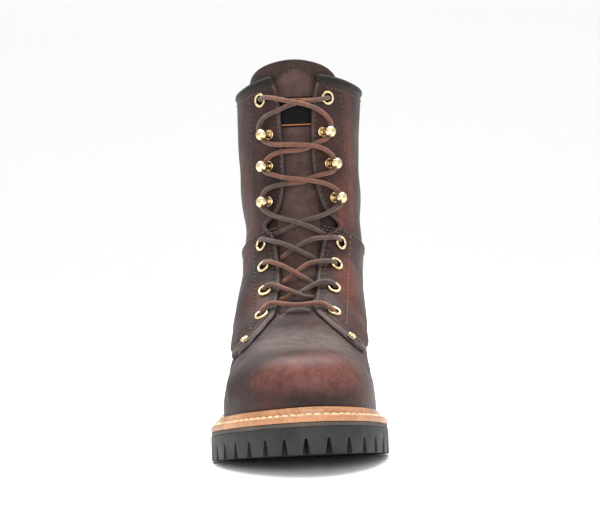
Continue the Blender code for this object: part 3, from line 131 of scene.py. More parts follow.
# Sections of the upper, each in a plane from the ridge to the welt or the back seam.
# ridge f, ridge z, ridge x, end f, end z (0: on the welt), outer and inner half width (0: just over
# the welt line), place of the widest point, ridge roundness, back closing, back roundness.
SECTIONS = [
    (0.975, 0.156, 0.000, 0.969, 0.000, 0.000, 0.000, 0.80, 2.00, 0.00, 2.20),
    (0.978, 0.185, 0.000, 0.962, 0.000, 0.000, 0.000, 0.80, 2.05, 0.00, 2.20),
    (0.975, 0.220, 0.000, 0.949, 0.000, 0.000, 0.000, 0.80, 2.15, 0.00, 2.20),
    (0.965, 0.253, -0.002, 0.928, 0.000, 0.000, 0.000, 0.80, 2.25, 0.00, 2.20),
    (0.944, 0.276, -0.005, 0.899, 0.000, 0.000, 0.000, 0.80, 2.40, 0.00, 2.20),
    (0.910, 0.289, -0.012, 0.862, 0.000, 0.000, 0.000, 0.80, 2.50, 0.00, 2.20),
    (0.865, 0.294, -0.022, 0.820, 0.000, 0.000, 0.000, 0.80, 2.55, 0.00, 2.20),
    (0.811, 0.300, -0.036, 0.774, 0.000, 0.000, 0.000, 0.80, 2.50, 0.00, 2.20),
    (0.753, 0.311, -0.049, 0.726, 0.000, 0.500, 0.356, 0.80, 2.45, 0.00, 2.20),
    (0.695, 0.329, -0.059, 0.676, 0.000, 0.500, 0.355, 0.78, 2.45, 0.00, 2.20),
    (0.647, 0.349, -0.064, 0.628, 0.000, 0.484, 0.348, 0.74, 2.45, 0.00, 2.20),
    (0.609, 0.367, -0.068, 0.577, 0.000, 0.468, 0.340, 0.68, 2.50, 0.00, 2.20),
    (0.577, 0.385, -0.066, 0.519, 0.000, 0.458, 0.336, 0.62, 2.55, 0.00, 2.20),
    (0.548, 0.405, -0.063, 0.455, 0.000, 0.450, 0.332, 0.56, 2.60, 0.00, 2.20),
    (0.524, 0.425, -0.059, 0.381, 0.000, 0.441, 0.330, 0.51, 2.60, 0.00, 2.20),
    (0.504, 0.447, -0.056, 0.301, 0.000, 0.430, 0.329, 0.47, 2.55, 0.00, 2.20),
    (0.488, 0.469, -0.052, 0.218, 0.000, 0.419, 0.327, 0.44, 2.50, 0.00, 2.20),
    (0.474, 0.491, -0.050, 0.138, 0.000, 0.409, 0.327, 0.42, 2.40, 0.15, 2.20),
    (0.464, 0.512, -0.047, 0.071, 0.000, 0.400, 0.328, 0.41, 2.35, 0.50, 2.15),
    (0.459, 0.522, -0.046, 0.049, 0.000, 0.397, 0.329, 0.41, 2.32, 0.70, 2.12),
    (0.455, 0.531, -0.045, 0.030, 0.000, 0.395, 0.330, 0.41, 2.30, 0.88, 2.10),
    (0.452, 0.540, -0.044, 0.021, 0.000, 0.393, 0.331, 0.41, 2.30, 0.97, 2.10),
    (0.448, 0.550, -0.042, 0.018, 0.201, 0.390, 0.332, 0.41, 2.30, 1.00, 2.10),
    (0.440, 0.574, -0.039, 0.011, 0.236, 0.383, 0.336, 0.41, 2.25, 1.00, 2.15),
    (0.433, 0.599, -0.036, 0.009, 0.282, 0.375, 0.339, 0.42, 2.25, 1.00, 2.20),
    (0.426, 0.631, -0.034, 0.014, 0.340, 0.368, 0.344, 0.43, 2.20, 1.00, 2.25),
    (0.420, 0.670, -0.031, 0.024, 0.404, 0.366, 0.349, 0.45, 2.20, 1.00, 2.25),
    (0.416, 0.714, -0.029, 0.035, 0.473, 0.373, 0.354, 0.47, 2.20, 1.00, 2.20),
    (0.413, 0.761, -0.028, 0.040, 0.548, 0.384, 0.358, 0.48, 2.15, 1.00, 2.20),
    (0.412, 0.809, -0.027, 0.040, 0.629, 0.390, 0.358, 0.49, 2.15, 1.00, 2.15),
    (0.410, 0.861, -0.027, 0.037, 0.722, 0.390, 0.358, 0.50, 2.15, 1.00, 2.15),
    (0.409, 0.919, -0.027, 0.032, 0.822, 0.388, 0.370, 0.50, 2.15, 1.00, 2.15),
    (0.407, 0.981, -0.027, 0.026, 0.927, 0.385, 0.386, 0.50, 2.15, 1.00, 2.15),
    (0.405, 1.096, -0.027, 0.018, 1.096, 0.384, 0.400, 0.50, 2.15, 1.00, 2.15),
]

# Seen from the front: x, z down each edge of the throat, then on down the front edge of the quarter.
THROAT_OUTER = [
    (-0.186, 1.050), (-0.169, 1.000), (-0.133, 0.966), (-0.113, 0.860), (-0.105, 0.790), (-0.114, 0.686),
    (-0.150, 0.632), (-0.195, 0.608), (-0.232, 0.593), (-0.225, 0.584), (-0.190, 0.569), (-0.165, 0.520),
    (-0.159, 0.437), (-0.178, 0.402), (-0.184, 0.378), (-0.200, 0.364), (-0.238, 0.348), (-0.296, 0.323),
    (-0.353, 0.300), (-0.404, 0.280), (-0.500, 0.242),
]

THROAT_INNER = [
    (0.135, 1.050), (0.120, 1.000), (0.086, 0.950), (0.065, 0.860), (0.058, 0.790), (0.075, 0.700),
    (0.110, 0.642), (0.160, 0.608), (0.208, 0.588), (0.200, 0.578), (0.135, 0.568), (0.090, 0.525),
    (0.056, 0.444), (0.047, 0.405), (0.030, 0.388), (0.034, 0.374), (0.068, 0.359), (0.121, 0.339),
    (0.175, 0.319), (0.231, 0.296), (0.276, 0.277), (0.380, 0.236),
]

THROAT_ROWS = 14  # rows of both tables that bound the throat itself

VAMP_FOLD = [(-0.170, 0.366), (-0.120, 0.379), (-0.066, 0.386), (-0.015, 0.382), (0.030, 0.370)]

# Seen from the side: f, z round the quarters, round the counter and along the collar.
QUARTER_SIDE = [
    (0.720, 0.258), (0.560, 0.266), (0.500, 0.283), (0.430, 0.312), (0.355, 0.338), (0.290, 0.352),
    (0.220, 0.360), (-0.060, 0.364), (-0.060, 0.493), (0.100, 0.496), (0.190, 0.503), (0.270, 0.520),
    (0.350, 0.550), (0.405, 0.576), (0.430, 0.592), (0.720, 0.605),
]

COUNTER_SIDE = [
    (-0.060, 0.130), (0.262, 0.130), (0.254, 0.230), (0.236, 0.290), (0.206, 0.330), (0.170, 0.350),
    (0.130, 0.358), (-0.060, 0.361),
]

COLLAR_SIDE = [
    (0.600, 1.020), (0.430, 1.008), (0.390, 0.996), (0.320, 0.972), (0.220, 0.958), (0.120, 0.964),
    (0.020, 0.976), (-0.060, 0.980),
]

# Seen from the front: x, z round the tongue and round the patch on it.
TONGUE_FRONT = [
    (-0.225, 0.345), (0.090, 0.345), (0.150, 0.430), (0.200, 0.560), (0.235, 0.750), (0.252, 0.900),
    (0.252, 0.960), (0.225, 0.995), (0.168, 1.020), (0.070, 1.037), (-0.040, 1.043), (-0.145, 1.037),
    (-0.225, 1.025), (-0.285, 1.002), (-0.305, 0.965), (-0.300, 0.900), (-0.290, 0.750), (-0.270, 0.560),
    (-0.245, 0.430),
]

LABEL_FRONT = [(-0.140, 0.858), (0.112, 0.858), (0.112, 0.940), (-0.140, 0.940)]

# Seen from the front: x, z of the lace's fastenings, bottom to top, then the foot rivets.
EYELETS_OUTER = [(-0.274, 0.365), (-0.250, 0.4225), (-0.254, 0.484), (-0.265, 0.542)]

EYELETS_INNER = [(0.148, 0.366), (0.155, 0.4225), (0.178, 0.482), (0.213, 0.537)]

HOOKS_OUTER = [(-0.250, 0.657), (-0.241, 0.754), (-0.233, 0.840)]

HOOKS_INNER = [(0.226, 0.660), (0.205, 0.754), (0.175, 0.841)]

TOP_EYELETS = [(-0.236, 0.935), (0.171, 0.934)]

RIVETS = [(-0.367, 0.307), (0.233, 0.303)]

# The lace's visible runs as x, z seen from the front and the height in mm above the upper's face.
# Each pair crosses; the second of a pair lies on top.
LACE_BAR = [
    (-0.275, 0.365, 1.0), (-0.265, 0.378, 4.6), (-0.236, 0.391, 5.0), (-0.173, 0.393, 5.0),
    (-0.095, 0.388, 4.6), (-0.010, 0.388, 4.6), (0.041, 0.390, 5.0), (0.103, 0.385, 5.0),
    (0.135, 0.372, 4.6), (0.151, 0.362, 1.0),
]

LACE_CROSSINGS = [
    (
        [(-0.145, 0.400, -1.2), (-0.093, 0.408, -0.4), (-0.053, 0.413, 0.9), (-0.006, 0.423, 2.2),
         (0.023, 0.430, 3.0), (0.069, 0.439, 4.8), (0.114, 0.441, 4.9), (0.153, 0.434, 4.4),
         (0.164, 0.423, 1.0)],
        [(0.019, 0.400, -1.0), (-0.020, 0.404, 1.0), (-0.053, 0.411, 2.4), (-0.092, 0.419, 3.7),
         (-0.170, 0.434, 5.2), (-0.215, 0.439, 4.9), (-0.243, 0.434, 4.4), (-0.255, 0.425, 1.0)],
    ),
    (
        [(-0.140, 0.442, -1.2), (-0.088, 0.456, -0.4), (-0.053, 0.468, 0.7), (0.000, 0.485, 2.6),
         (0.052, 0.492, 4.6), (0.115, 0.493, 4.9), (0.154, 0.490, 4.4), (0.174, 0.483, 1.0)],
        [(0.034, 0.434, -1.0), (0.008, 0.444, 1.0), (-0.059, 0.463, 3.2), (-0.143, 0.486, 5.0),
         (-0.187, 0.493, 4.9), (-0.233, 0.498, 4.4), (-0.253, 0.490, 1.0)],
    ),
    (
        [(-0.140, 0.506, -1.2), (-0.112, 0.515, -0.6), (-0.059, 0.529, 0.4), (0.006, 0.546, 2.8),
         (0.070, 0.554, 4.8), (0.139, 0.554, 4.9), (0.196, 0.552, 4.4), (0.209, 0.544, 1.0)],
        [(0.046, 0.500, -1.0), (0.003, 0.512, 1.8), (-0.065, 0.529, 3.4), (-0.160, 0.547, 5.0),
         (-0.234, 0.555, 4.6), (-0.262, 0.558, 4.4), (-0.274, 0.551, 1.0)],
    ),
    (
        [(-0.150, 0.572, -1.2), (-0.066, 0.590, 0.2), (-0.028, 0.598, 1.1), (0.004, 0.603, 1.4),
         (0.108, 0.614, 3.0), (0.178, 0.628, 4.0), (0.228, 0.643, 4.4), (0.222, 0.654, 4.4)],
        [(0.105, 0.566, -0.8), (0.060, 0.578, 2.0), (0.003, 0.591, 3.9), (-0.028, 0.596, 4.2),
         (-0.065, 0.602, 4.8), (-0.167, 0.616, 4.6), (-0.227, 0.630, 4.4), (-0.257, 0.643, 4.4),
         (-0.253, 0.654, 4.4)],
    ),
    (
        [(-0.254, 0.661, 4.4), (-0.244, 0.677, 4.2), (-0.215, 0.692, 3.8), (-0.159, 0.700, 3.0),
         (-0.083, 0.705, 2.5), (0.014, 0.709, 2.5), (0.056, 0.718, 2.8), (0.119, 0.725, 3.4),
         (0.189, 0.734, 4.2), (0.204, 0.748, 4.4)],
        [(0.222, 0.665, 4.4), (0.211, 0.677, 4.4), (0.151, 0.697, 4.9), (0.069, 0.708, 5.9),
         (0.030, 0.712, 6.1), (-0.013, 0.715, 6.1), (-0.109, 0.721, 5.8), (-0.190, 0.732, 4.8),
         (-0.231, 0.739, 4.4), (-0.240, 0.749, 4.4)],
    ),
    (
        [(-0.237, 0.760, 4.4), (-0.214, 0.770, 4.2), (-0.172, 0.785, 3.6), (-0.081, 0.793, 2.6),
         (0.023, 0.797, 2.5), (0.079, 0.809, 2.7), (0.135, 0.818, 3.6), (0.163, 0.826, 4.2),
         (0.172, 0.835, 4.4)],
        [(0.202, 0.762, 4.4), (0.186, 0.775, 4.6), (0.146, 0.792, 5.5), (0.078, 0.804, 6.0),
         (-0.018, 0.809, 6.1), (-0.114, 0.811, 5.6), (-0.183, 0.814, 4.8), (-0.223, 0.824, 4.4),
         (-0.237, 0.834, 4.4)],
    ),
    (
        [(-0.238, 0.846, 4.4), (-0.254, 0.856, 4.2), (-0.239, 0.875, 4.0), (-0.196, 0.893, 3.4),
         (-0.147, 0.901, 2.8), (-0.104, 0.910, 2.5), (-0.035, 0.921, 2.5), (0.035, 0.926, 2.6),
         (0.104, 0.929, 2.8), (0.159, 0.933, 2.6), (0.177, 0.934, 0.5)],
        [(0.175, 0.844, 4.4), (0.187, 0.863, 4.4), (0.168, 0.879, 4.6), (0.122, 0.899, 5.2),
         (0.061, 0.913, 6.0), (-0.020, 0.924, 5.9), (-0.089, 0.931, 5.6), (-0.157, 0.939, 4.0),
         (-0.219, 0.942, 2.8), (-0.236, 0.937, 0.5)],
    ),
]

# Bars cut across the tread: f of both ends and x of both sides.
TREAD_BARS = [
    (0.395, 0.415, -0.220, 0.102), (0.475, 0.495, -0.254, 0.110), (0.555, 0.575, -0.322, 0.136),
    (0.635, 0.655, -0.373, 0.186), (0.715, 0.735, -0.381, 0.203), (0.795, 0.815, -0.339, 0.186),
    (0.865, 0.885, -0.237, 0.136),
]

BAR_BEND = 0.022  # middle of a bar ahead of its ends, as a share of SOLE_LENGTH

FACE_BACK = 0.2  # f of the line between the boot's front and back
TONGUE_BACK = 0.3  # f of the line behind which the tongue's outline doesn't cut
BACKSTAY_SPAN = (0.367, 0.934)  # z of the strip's lower and upper end


def at(f, x, z):
    """A place in the scene, in metres."""
    return (x / 1000, (HEEL_CENTRE - f) / 1000, z / 1000)


def spread_over(run, columns, where):
    """Each column read off at one or more distances along a line."""
    return np.stack([np.interp(where, run, columns[:, c]) for c in range(columns.shape[1])], axis=-1)


def walked(line):
    """Distance from the first point to each point of a line."""
    return np.concatenate([[0], np.cumsum(np.linalg.norm(np.diff(line, axis=0), axis=1))])


def spline(knots, values, where):
    """A natural cubic curve through the values, one column at a time."""
    knots = np.asarray(knots, float)
    values = np.asarray(values, float)
    steps = np.diff(knots)
    count = len(knots)
    matrix = np.eye(count)
    right = np.zeros(values.shape)
    slopes = np.diff(values, axis=0) / steps[:, None]
    for i in range(1, count - 1):
        matrix[i, i - 1] = steps[i - 1]
        matrix[i, i] = 2 * (steps[i - 1] + steps[i])
        matrix[i, i + 1] = steps[i]
        right[i] = 6 * (slopes[i] - slopes[i - 1])
    bends = np.linalg.solve(matrix, right)
    cell = np.clip(np.searchsorted(knots, where, side="right") - 1, 0, count - 2)
    h = steps[cell][:, None]
    a = (knots[cell + 1] - where)[:, None] / h
    b = 1 - a
    low = values[cell]
    high = values[cell + 1]
    curve = ((a**3 - a) * bends[cell] + (b**3 - b) * bends[cell + 1]) * h * h / 6
    return a * low + b * high + curve


def sole_side(column):
    """f and half width down one side of the sole, closely spaced."""
    plan = np.array(SOLE_PLAN)
    points = np.stack([plan[:, 0] * SOLE_LENGTH, plan[:, column] * BALL_WIDTH], axis=1)
    whole = np.concatenate([points * (1, -1), points[1:-1][::-1]])
    whole = np.concatenate([whole[-3:], whole, whole[:3]])
    start = 3
    gaps = np.hypot(*np.diff(whole, axis=0).T)
    knots = np.concatenate([[0], np.cumsum(gaps)])
    where = np.linspace(knots[start], knots[start + len(points) - 1], 900)
    line = spline(knots, whole, where)
    line[:, 1] = -line[:, 1]
    return line


def inset(line, amount):
    """The same line moved inward, by an amount for each f."""
    along = np.gradient(line, axis=0)
    along /= np.linalg.norm(along, axis=1)[:, None]
    moved = line + np.stack([along[:, 1], -along[:, 0]], axis=1) * amount(line[:, 0])[:, None]
    moved = moved[moved[:, 1] > 0]
    moved = moved[np.argsort(moved[:, 0])]
    first = [moved[0, 0] - 0.05, 0]
    last = [moved[-1, 0] + 0.05, 0]
    return np.concatenate([[first], moved, [last]])


def flange(f):
    """Width of welt that shows outside the upper."""
    share = np.clip((np.asarray(f, float) - 70) / 110, 0, 1)
    share = share * share * (3 - 2 * share)
    return FLANGE_HEEL + (FLANGE_FRONT - FLANGE_HEEL) * share


SOLE_OUTER = sole_side(1)
SOLE_INNER = sole_side(2)
WELT_OUTER = inset(SOLE_OUTER, flange)
WELT_INNER = inset(SOLE_INNER, flange)
WELT_POINTS = np.array(WELT_LINE) * (SOLE_LENGTH, COLLAR_HEIGHT)


def welt_top(f):
    where = np.clip(np.atleast_1d(np.asarray(f, float)), 0, SOLE_LENGTH)
    return spline(WELT_POINTS[:, 0], WELT_POINTS[:, 1:], where)[:, 0]


def half_width(side, f):
    line = side[np.argsort(side[:, 0])]
    return np.interp(f, line[:, 0], line[:, 1])


def section_rows(open_count, closed_count):
    """The table's rows as lengths, with the half widths on the welt line added, smoothly spaced."""
    rows = []
    for row in SECTIONS:
        ridge_f, ridge_z, ridge_x, end_f, end_z, outer, inner, widest, front, closing, back = row
        end_f *= SOLE_LENGTH
        outer_end = 0.0
        inner_end = 0.0
        if end_z == 0:
            outer_end = float(half_width(WELT_OUTER, end_f))
            inner_end = float(half_width(WELT_INNER, end_f))
            end_z = (float(welt_top(end_f)[0]) - WELT_THICK + GAP) / COLLAR_HEIGHT
        lift = 0.9 + 1.0 * min(1.0, outer_end / 50)
        rows.append((
            ridge_f * SOLE_LENGTH,
            ridge_z * COLLAR_HEIGHT,
            ridge_x * BALL_WIDTH,
            end_f,
            end_z * COLLAR_HEIGHT,
            outer * BALL_WIDTH or outer_end + lift,
            inner * BALL_WIDTH or inner_end + lift,
            widest,
            front,
            closing,
            back,
            outer_end,
            inner_end,
        ))
    rows = np.array(rows)
    steps = np.hypot(np.diff(rows[:, 0]), np.diff(rows[:, 1]))
    steps = steps + np.hypot(np.diff(rows[:, 3]), np.diff(rows[:, 4]))
    knots = np.concatenate([[0], np.cumsum(np.sqrt(steps))])
    first_closed = len([row for row in SECTIONS if row[4] == 0])
    where = np.concatenate([
        np.linspace(0, knots[first_closed - 1], open_count),
        np.linspace(knots[first_closed], knots[-1], closed_count),
    ])
    fine = spline(knots, rows, where)
    for row, place in zip(fine, where):
        if place >= knots[first_closed]:
            row[11:13] = 0
        else:
            for column, side in ((11, WELT_OUTER), (12, WELT_INNER)):
                row[column] = float(half_width(side, row[3]))
            if row[3] > 6:
                row[4] = float(welt_top(row[3])[0]) - WELT_THICK + GAP
        row[9] = min(1, max(0, row[9]))
    return fine


def half_section(row, side, count):
    """Points from the ridge to the end of one half of a section: share of the way, x."""
    wide = row[5] if side < 0 else row[6]
    end = row[11] if side < 0 else row[12]
    centre = row[2]
    reach = side * wide - centre
    angle = np.linspace(0, math.pi / 2, FINE)
    front = np.stack([
        row[7] * (1 - np.cos(angle) ** (2 / row[8])),
        centre + reach * np.sin(angle) ** (2 / row[8]),
    ], axis=1)
    closed = np.stack([np.sin(angle) ** (2 / row[10]), np.cos(angle) ** (2 / row[10])], axis=1)
    share = np.linspace(0, 1, FINE)
    bend = (1 + np.cos(math.pi * share)) / 2
    open_at = closed[:, 0]
    open_x = np.interp(open_at, share, bend)
    fall = row[9] * closed[:, 1] + (1 - row[9]) * open_x
    back = np.stack([
        row[7] + (1 - row[7]) * open_at,
        side * end + side * (wide - end) * fall,
    ], axis=1)
    line = np.concatenate([front, back[1:]])
    length = math.hypot(row[3] - row[0], row[4] - row[1])
    run = np.hypot(np.diff(line[:, 0]) * length, np.diff(line[:, 1]))
    run = np.concatenate([[0], np.cumsum(run)])
    where = np.linspace(0, run[-1], count)
    return spread_over(run, line, where)


def skin():
    """The outer face of the upper as a grid of f, x, z, from the toe to above the collar."""
    grid = []
    for row in section_rows(OPEN_RINGS, CLOSED_RINGS):
        halves = []
        for side in (-1, 1):
            half = half_section(row, side, ROUND // 2 + 1)
            f = row[0] + (row[3] - row[0]) * half[:, 0]
            z = row[1] + (row[4] - row[1]) * half[:, 0]
            halves.append(np.stack([f, half[:, 1], z], axis=1))
        grid.append(np.concatenate([halves[0][::-1], halves[1][1:]]))
    return np.array(grid)


def normals(grid):
    """Outward directions at the grid's points."""
    count, around = grid.shape[:2]
    total = np.zeros(grid.shape)
    a = grid[:-1, :-1]
    b = grid[1:, :-1]
    c = grid[1:, 1:]
    d = grid[:-1, 1:]
    face = np.cross(c - a, d - b)
    total[:-1, :-1] += face
    total[1:, :-1] += face
    total[1:, 1:] += face
    total[:-1, 1:] += face
    for i in range(count):
        if np.linalg.norm(grid[i, 0] - grid[i, -1]) < 0.01:
            seam = total[i, 0] + total[i, -1]
            total[i, 0] = seam
            total[i, -1] = seam
    total /= np.maximum(np.linalg.norm(total, axis=2), 1e-9)[:, :, None]
    middle = total[count // 2, around // 2]
    if middle[0] < 0:
        total = -total
    return total


def rounded(points, each=3, closed=False):
    """A smooth line through the points."""
    points = np.array(points, float)
    if closed:
        points = np.concatenate([points[-3:], points, points[:4]])
    gaps = np.sqrt(np.hypot(*np.diff(points, axis=0).T))
    knots = np.concatenate([[0], np.cumsum(gaps)])
    start = 3 if closed else 0
    end = len(points) - 4 if closed else len(points) - 1
    where = []
    for i in range(start, end):
        where += list(np.linspace(knots[i], knots[i + 1], each, endpoint=False))
    if not closed:
        where.append(knots[-1])
    return [tuple(p) for p in spline(knots, points, np.array(where))]


def front(points):
    return [(x * BALL_WIDTH, z * COLLAR_HEIGHT) for x, z in points]


def side(points):
    return [(f * SOLE_LENGTH, z * COLLAR_HEIGHT) for f, z in points]


def throat_outline(margin=0.0):
    """The throat as one outline seen from the front, down to the fold of the vamp."""
    left = [(x - margin, z) for x, z in rounded(front(THROAT_OUTER[:THROAT_ROWS]), 2)]
    right = [(x + margin, z) for x, z in rounded(front(THROAT_INNER[:THROAT_ROWS]), 2)]
    return left + front(VAMP_FOLD) + right[::-1]


def quarter_gap():
    """What the quarters leave open in front: the throat and the vamp below it."""
    outer = rounded(front(THROAT_OUTER), 2)
    inner = rounded(front(THROAT_INNER), 2)
    return outer + inner[::-1]


def spaced(start, end, count, round_end=True):
    """Places between two f, closer together at the start, and at an end that is round."""
    share = np.linspace(0, 1, count)
    turn = 0 if round_end else math.pi / 2
    angle = math.pi + (turn - math.pi) * share
    wave = np.cos(angle)
    wave = (wave - wave[0]) / (wave[-1] - wave[0])
    return start + (end - start) * (0.7 * wave + 0.3 * share)


def top_of(line, offset):
    return lambda f: float(line(f)[0]) - offset


def moved_in(amount):
    """Both side lines of the sole moved in by the same amount."""
    return (
        inset(SOLE_OUTER, lambda f: np.full(np.shape(f), amount)),
        inset(SOLE_INNER, lambda f: np.full(np.shape(f), amount)),
    )


def reach(lines, count):
    """Places between the first and last f that both side lines hold."""
    return spaced(max(lines[0][0, 0], lines[1][0, 0]), min(lines[0][-1, 0], lines[1][-1, 0]), count)


def edge_stations(pitch, start, end, floor):
    """Places round the front of the sole, evenly spaced along its edge."""
    outer = SOLE_OUTER[np.argsort(SOLE_OUTER[:, 0])]
    inner = SOLE_INNER[np.argsort(SOLE_INNER[:, 0])]
    loop = np.concatenate([outer * (1, -1), inner[-2::-1]])
    loop = loop[(loop[:, 0] >= start) & (loop[:, 0] <= end)]
    gaps = np.hypot(*np.diff(loop, axis=0).T)
    run = np.concatenate([[0], np.cumsum(gaps)])
    count = int(run[-1] / pitch)
    where = (np.arange(count) + 0.5) * run[-1] / count
    found = []
    for w in where:
        a, p, b = spread_over(run, loop, [w - 2, w, w + 2])
        way = np.array([b[1] - a[1], -(b[0] - a[0])])
        way /= np.linalg.norm(way)
        if np.dot(way, np.array([0.62 * SOLE_LENGTH, -6.0]) - p) < 0:
            way = -way
        found.append((p, way, float(floor(p[0]))))
    return found


def sole_floor(f):
    """Underside of the lugs, flat on the ground under the ball."""
    share = min(1.0, max(0.0, (f / SOLE_LENGTH - 0.70) / 0.30))
    floor = float(welt_top(f)[0]) - WELT_THICK - MIDSOLE_THICK - OUTSOLE_THICK - TOE_EXTRA * share
    under_ball = math.exp(-((f - BALL_TREAD) / TREAD_SPAN) ** 2)
    return max(0.0, floor - TREAD_WEAR * (1 + 2 * under_ball))


# Soft folds of the leather: side (-1 outer, 1 inner, 0 both), f, z of both ends, width and height in mm.
CREASES = [
    (0, 0.640, 0.330, 0.590, 0.230, 7.0, -0.9),
    (0, 0.665, 0.320, 0.625, 0.210, 6.0, 0.7),
    (0, 0.690, 0.310, 0.655, 0.190, 7.0, -0.8),
    (0, 0.560, 0.400, 0.480, 0.300, 8.0, -0.8),
    (-1, 0.420, 0.500, 0.250, 0.430, 8.0, -0.9),
    (1, 0.420, 0.500, 0.250, 0.440, 8.0, -0.9),
    (-1, 0.400, 0.560, 0.180, 0.500, 8.0, 0.8),
    (1, 0.400, 0.560, 0.180, 0.510, 8.0, 0.8),
    (-1, 0.380, 0.640, 0.160, 0.560, 9.0, -1.0),
    (1, 0.380, 0.640, 0.160, 0.570, 9.0, -1.0),
    (-1, 0.380, 0.780, 0.120, 0.700, 10.0, -0.8),
    (1, 0.380, 0.760, 0.120, 0.690, 10.0, -0.8),
    (0, 0.100, 0.480, 0.010, 0.420, 8.0, -0.8),
    (0, 0.100, 0.560, 0.020, 0.520, 8.0, 0.7),
    (-1, 0.700, 0.285, 0.830, 0.185, 4.0, 0.9),
    (1, 0.770, 0.275, 0.740, 0.195, 4.0, 0.9),
]
# The upright sewn rows of each side, seen from the front.
SHAFT_ROWS = [
    [(-0.297, 0.937), (-0.299, 0.800), (-0.301, 0.662), (-0.306, 0.560), (-0.308, 0.476), (-0.319, 0.379),
     (-0.336, 0.328)],
    [(0.252, 0.945), (0.252, 0.885), (0.262, 0.760), (0.269, 0.659), (0.279, 0.573), (0.251, 0.464),
     (0.224, 0.360), (0.215, 0.330)],
]
# The smooth middle panel of the tongue and the second stitched arc, seen from the front.
TONGUE_ARC = [(-0.130, 0.758), (-0.070, 0.748), (0.010, 0.748), (0.055, 0.756)]
TONGUE_PANEL = [
    (-0.140, 0.420), (0.060, 0.420), (0.090, 0.640), (0.125, 0.860), (0.112, 0.965), (0.060, 1.000),
    (-0.020, 1.016), (-0.100, 1.000), (-0.165, 0.965), (-0.170, 0.860), (-0.160, 0.640),
]


def creased(grid, ways):
    """The leather's soft folds, pushed in or out along the face's outward direction."""
    folded = grid.copy()
    flat = grid[:, :, [0, 2]]
    for half, f0, z0, f1, z1, width, height in CREASES:
        a = np.array([f0 * SOLE_LENGTH, z0 * COLLAR_HEIGHT])
        b = np.array([f1 * SOLE_LENGTH, z1 * COLLAR_HEIGHT])
        share = ((flat - a) @ (b - a)) / np.dot(b - a, b - a)
        held = np.clip(share, 0, 1)
        sway = 2.0 * np.sin(held * 6.0 + f0 * 40)
        middle = a + held[:, :, None] * (b - a)
        gap = np.linalg.norm(flat - middle, axis=2) + sway * np.sin(math.pi * held)
        amount = height * np.exp(-((gap / width) ** 2)) * np.sin(math.pi * np.clip(held, 0.1, 0.9)) ** 0.5
        if half:
            amount = np.where(grid[:, :, 1] * half > 0, amount, 0)
        folded += ways * amount[:, :, None]
    return folded


PLAIN = skin()
SKIN = creased(PLAIN, normals(PLAIN))
SKIN_NORMALS = normals(SKIN)
ROWS, AROUND = SKIN.shape[:2]
TREES = {}


def tree_of(away):
    """The face moved outward, ready for straight lines to be dropped on it."""
    key = round(away * 4)
    if key not in TREES:
        grid = SKIN + SKIN_NORMALS * (key / 4)
        corners = np.arange(ROWS * AROUND).reshape(ROWS, AROUND)
        quads = np.stack([corners[:-1, :-1], corners[1:, :-1], corners[1:, 1:], corners[:-1, 1:]], axis=-1)
        TREES[key] = BVHTree.FromPolygons(
            [Vector(p) for p in grid.reshape(-1, 3)], [tuple(q) for q in quads.reshape(-1, 4).tolist()]
        )
    return TREES[key]


def way_at(index):
    i, j = divmod(index, AROUND - 1)
    way = SKIN_NORMALS[i:i + 2, j:j + 2].reshape(-1, 3).mean(axis=0)
    return way / np.linalg.norm(way)


def from_front(x, z, away=0.0):
    """Point and outward direction of the face moved outward, seen from the front at x, z."""
    hit, _, index, _ = tree_of(away).ray_cast(Vector((420, x, z)), Vector((-1, 0, 0)))
    return None if hit is None else (np.array(hit), way_at(index))


def from_side(f, z, half, away=0.0):
    """The same seen from one side at f, z."""
    hit, _, index, _ = tree_of(away).ray_cast(Vector((f, 200 * half, z)), Vector((0, -half, 0)))
    return None if hit is None else (np.array(hit), way_at(index))


def seat(x, z, away, radius):
    """Where a flat disc rests on the face moved outward: its centre and outward direction."""
    centre, _ = from_front(x, z, away)
    rim = []
    for k in range(12):
        angle = math.pi * k / 6
        rim.append(from_front(x + radius * math.cos(angle), z + radius * math.sin(angle), away)[0])
    way = np.cross(rim[0] - rim[6], rim[3] - rim[9])
    way = way / np.linalg.norm(way) * (1 if way[0] > 0 else -1)
    rise = max(0.0, max(float(np.dot(p - centre, way)) for p in rim))
    return centre + way * rise, way


def outline_distance(points, outline):
    """Signed distance in mm from flat points to a closed outline, positive inside."""
    outline = np.asarray(outline, float)
    nearest = np.full(len(points), 1e9)
    inside = np.zeros(len(points), bool)
    for p, q in zip(outline, np.roll(outline, -1, axis=0)):
        d = q - p
        share = np.clip(((points - p) @ d) / max(np.dot(d, d), 1e-12), 0, 1)
        nearest = np.minimum(nearest, np.linalg.norm(points - (p + share[:, None] * d), axis=1))
        rise = q[1] - p[1]
        crosses = (p[1] > points[:, 1]) != (q[1] > points[:, 1])
        at_x = p[0] + (points[:, 1] - p[1]) * (q[0] - p[0]) / (rise if abs(rise) > 1e-9 else 1e-9)
        inside ^= crosses & (points[:, 0] < at_x)
    return np.where(inside, nearest, -nearest)


def piece(name, mesh, slot, *nodes, look=None):
    """A finished piece of the boot, in place of the nodes named."""
    item = bpy.data.objects.new(name, mesh)
    bpy.context.scene.collection.objects.link(item)
    mesh.materials.clear()
    mesh.materials.append(MADE[look or slot])
    if nodes:
        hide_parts(*nodes)
    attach(item, "root")
    return item


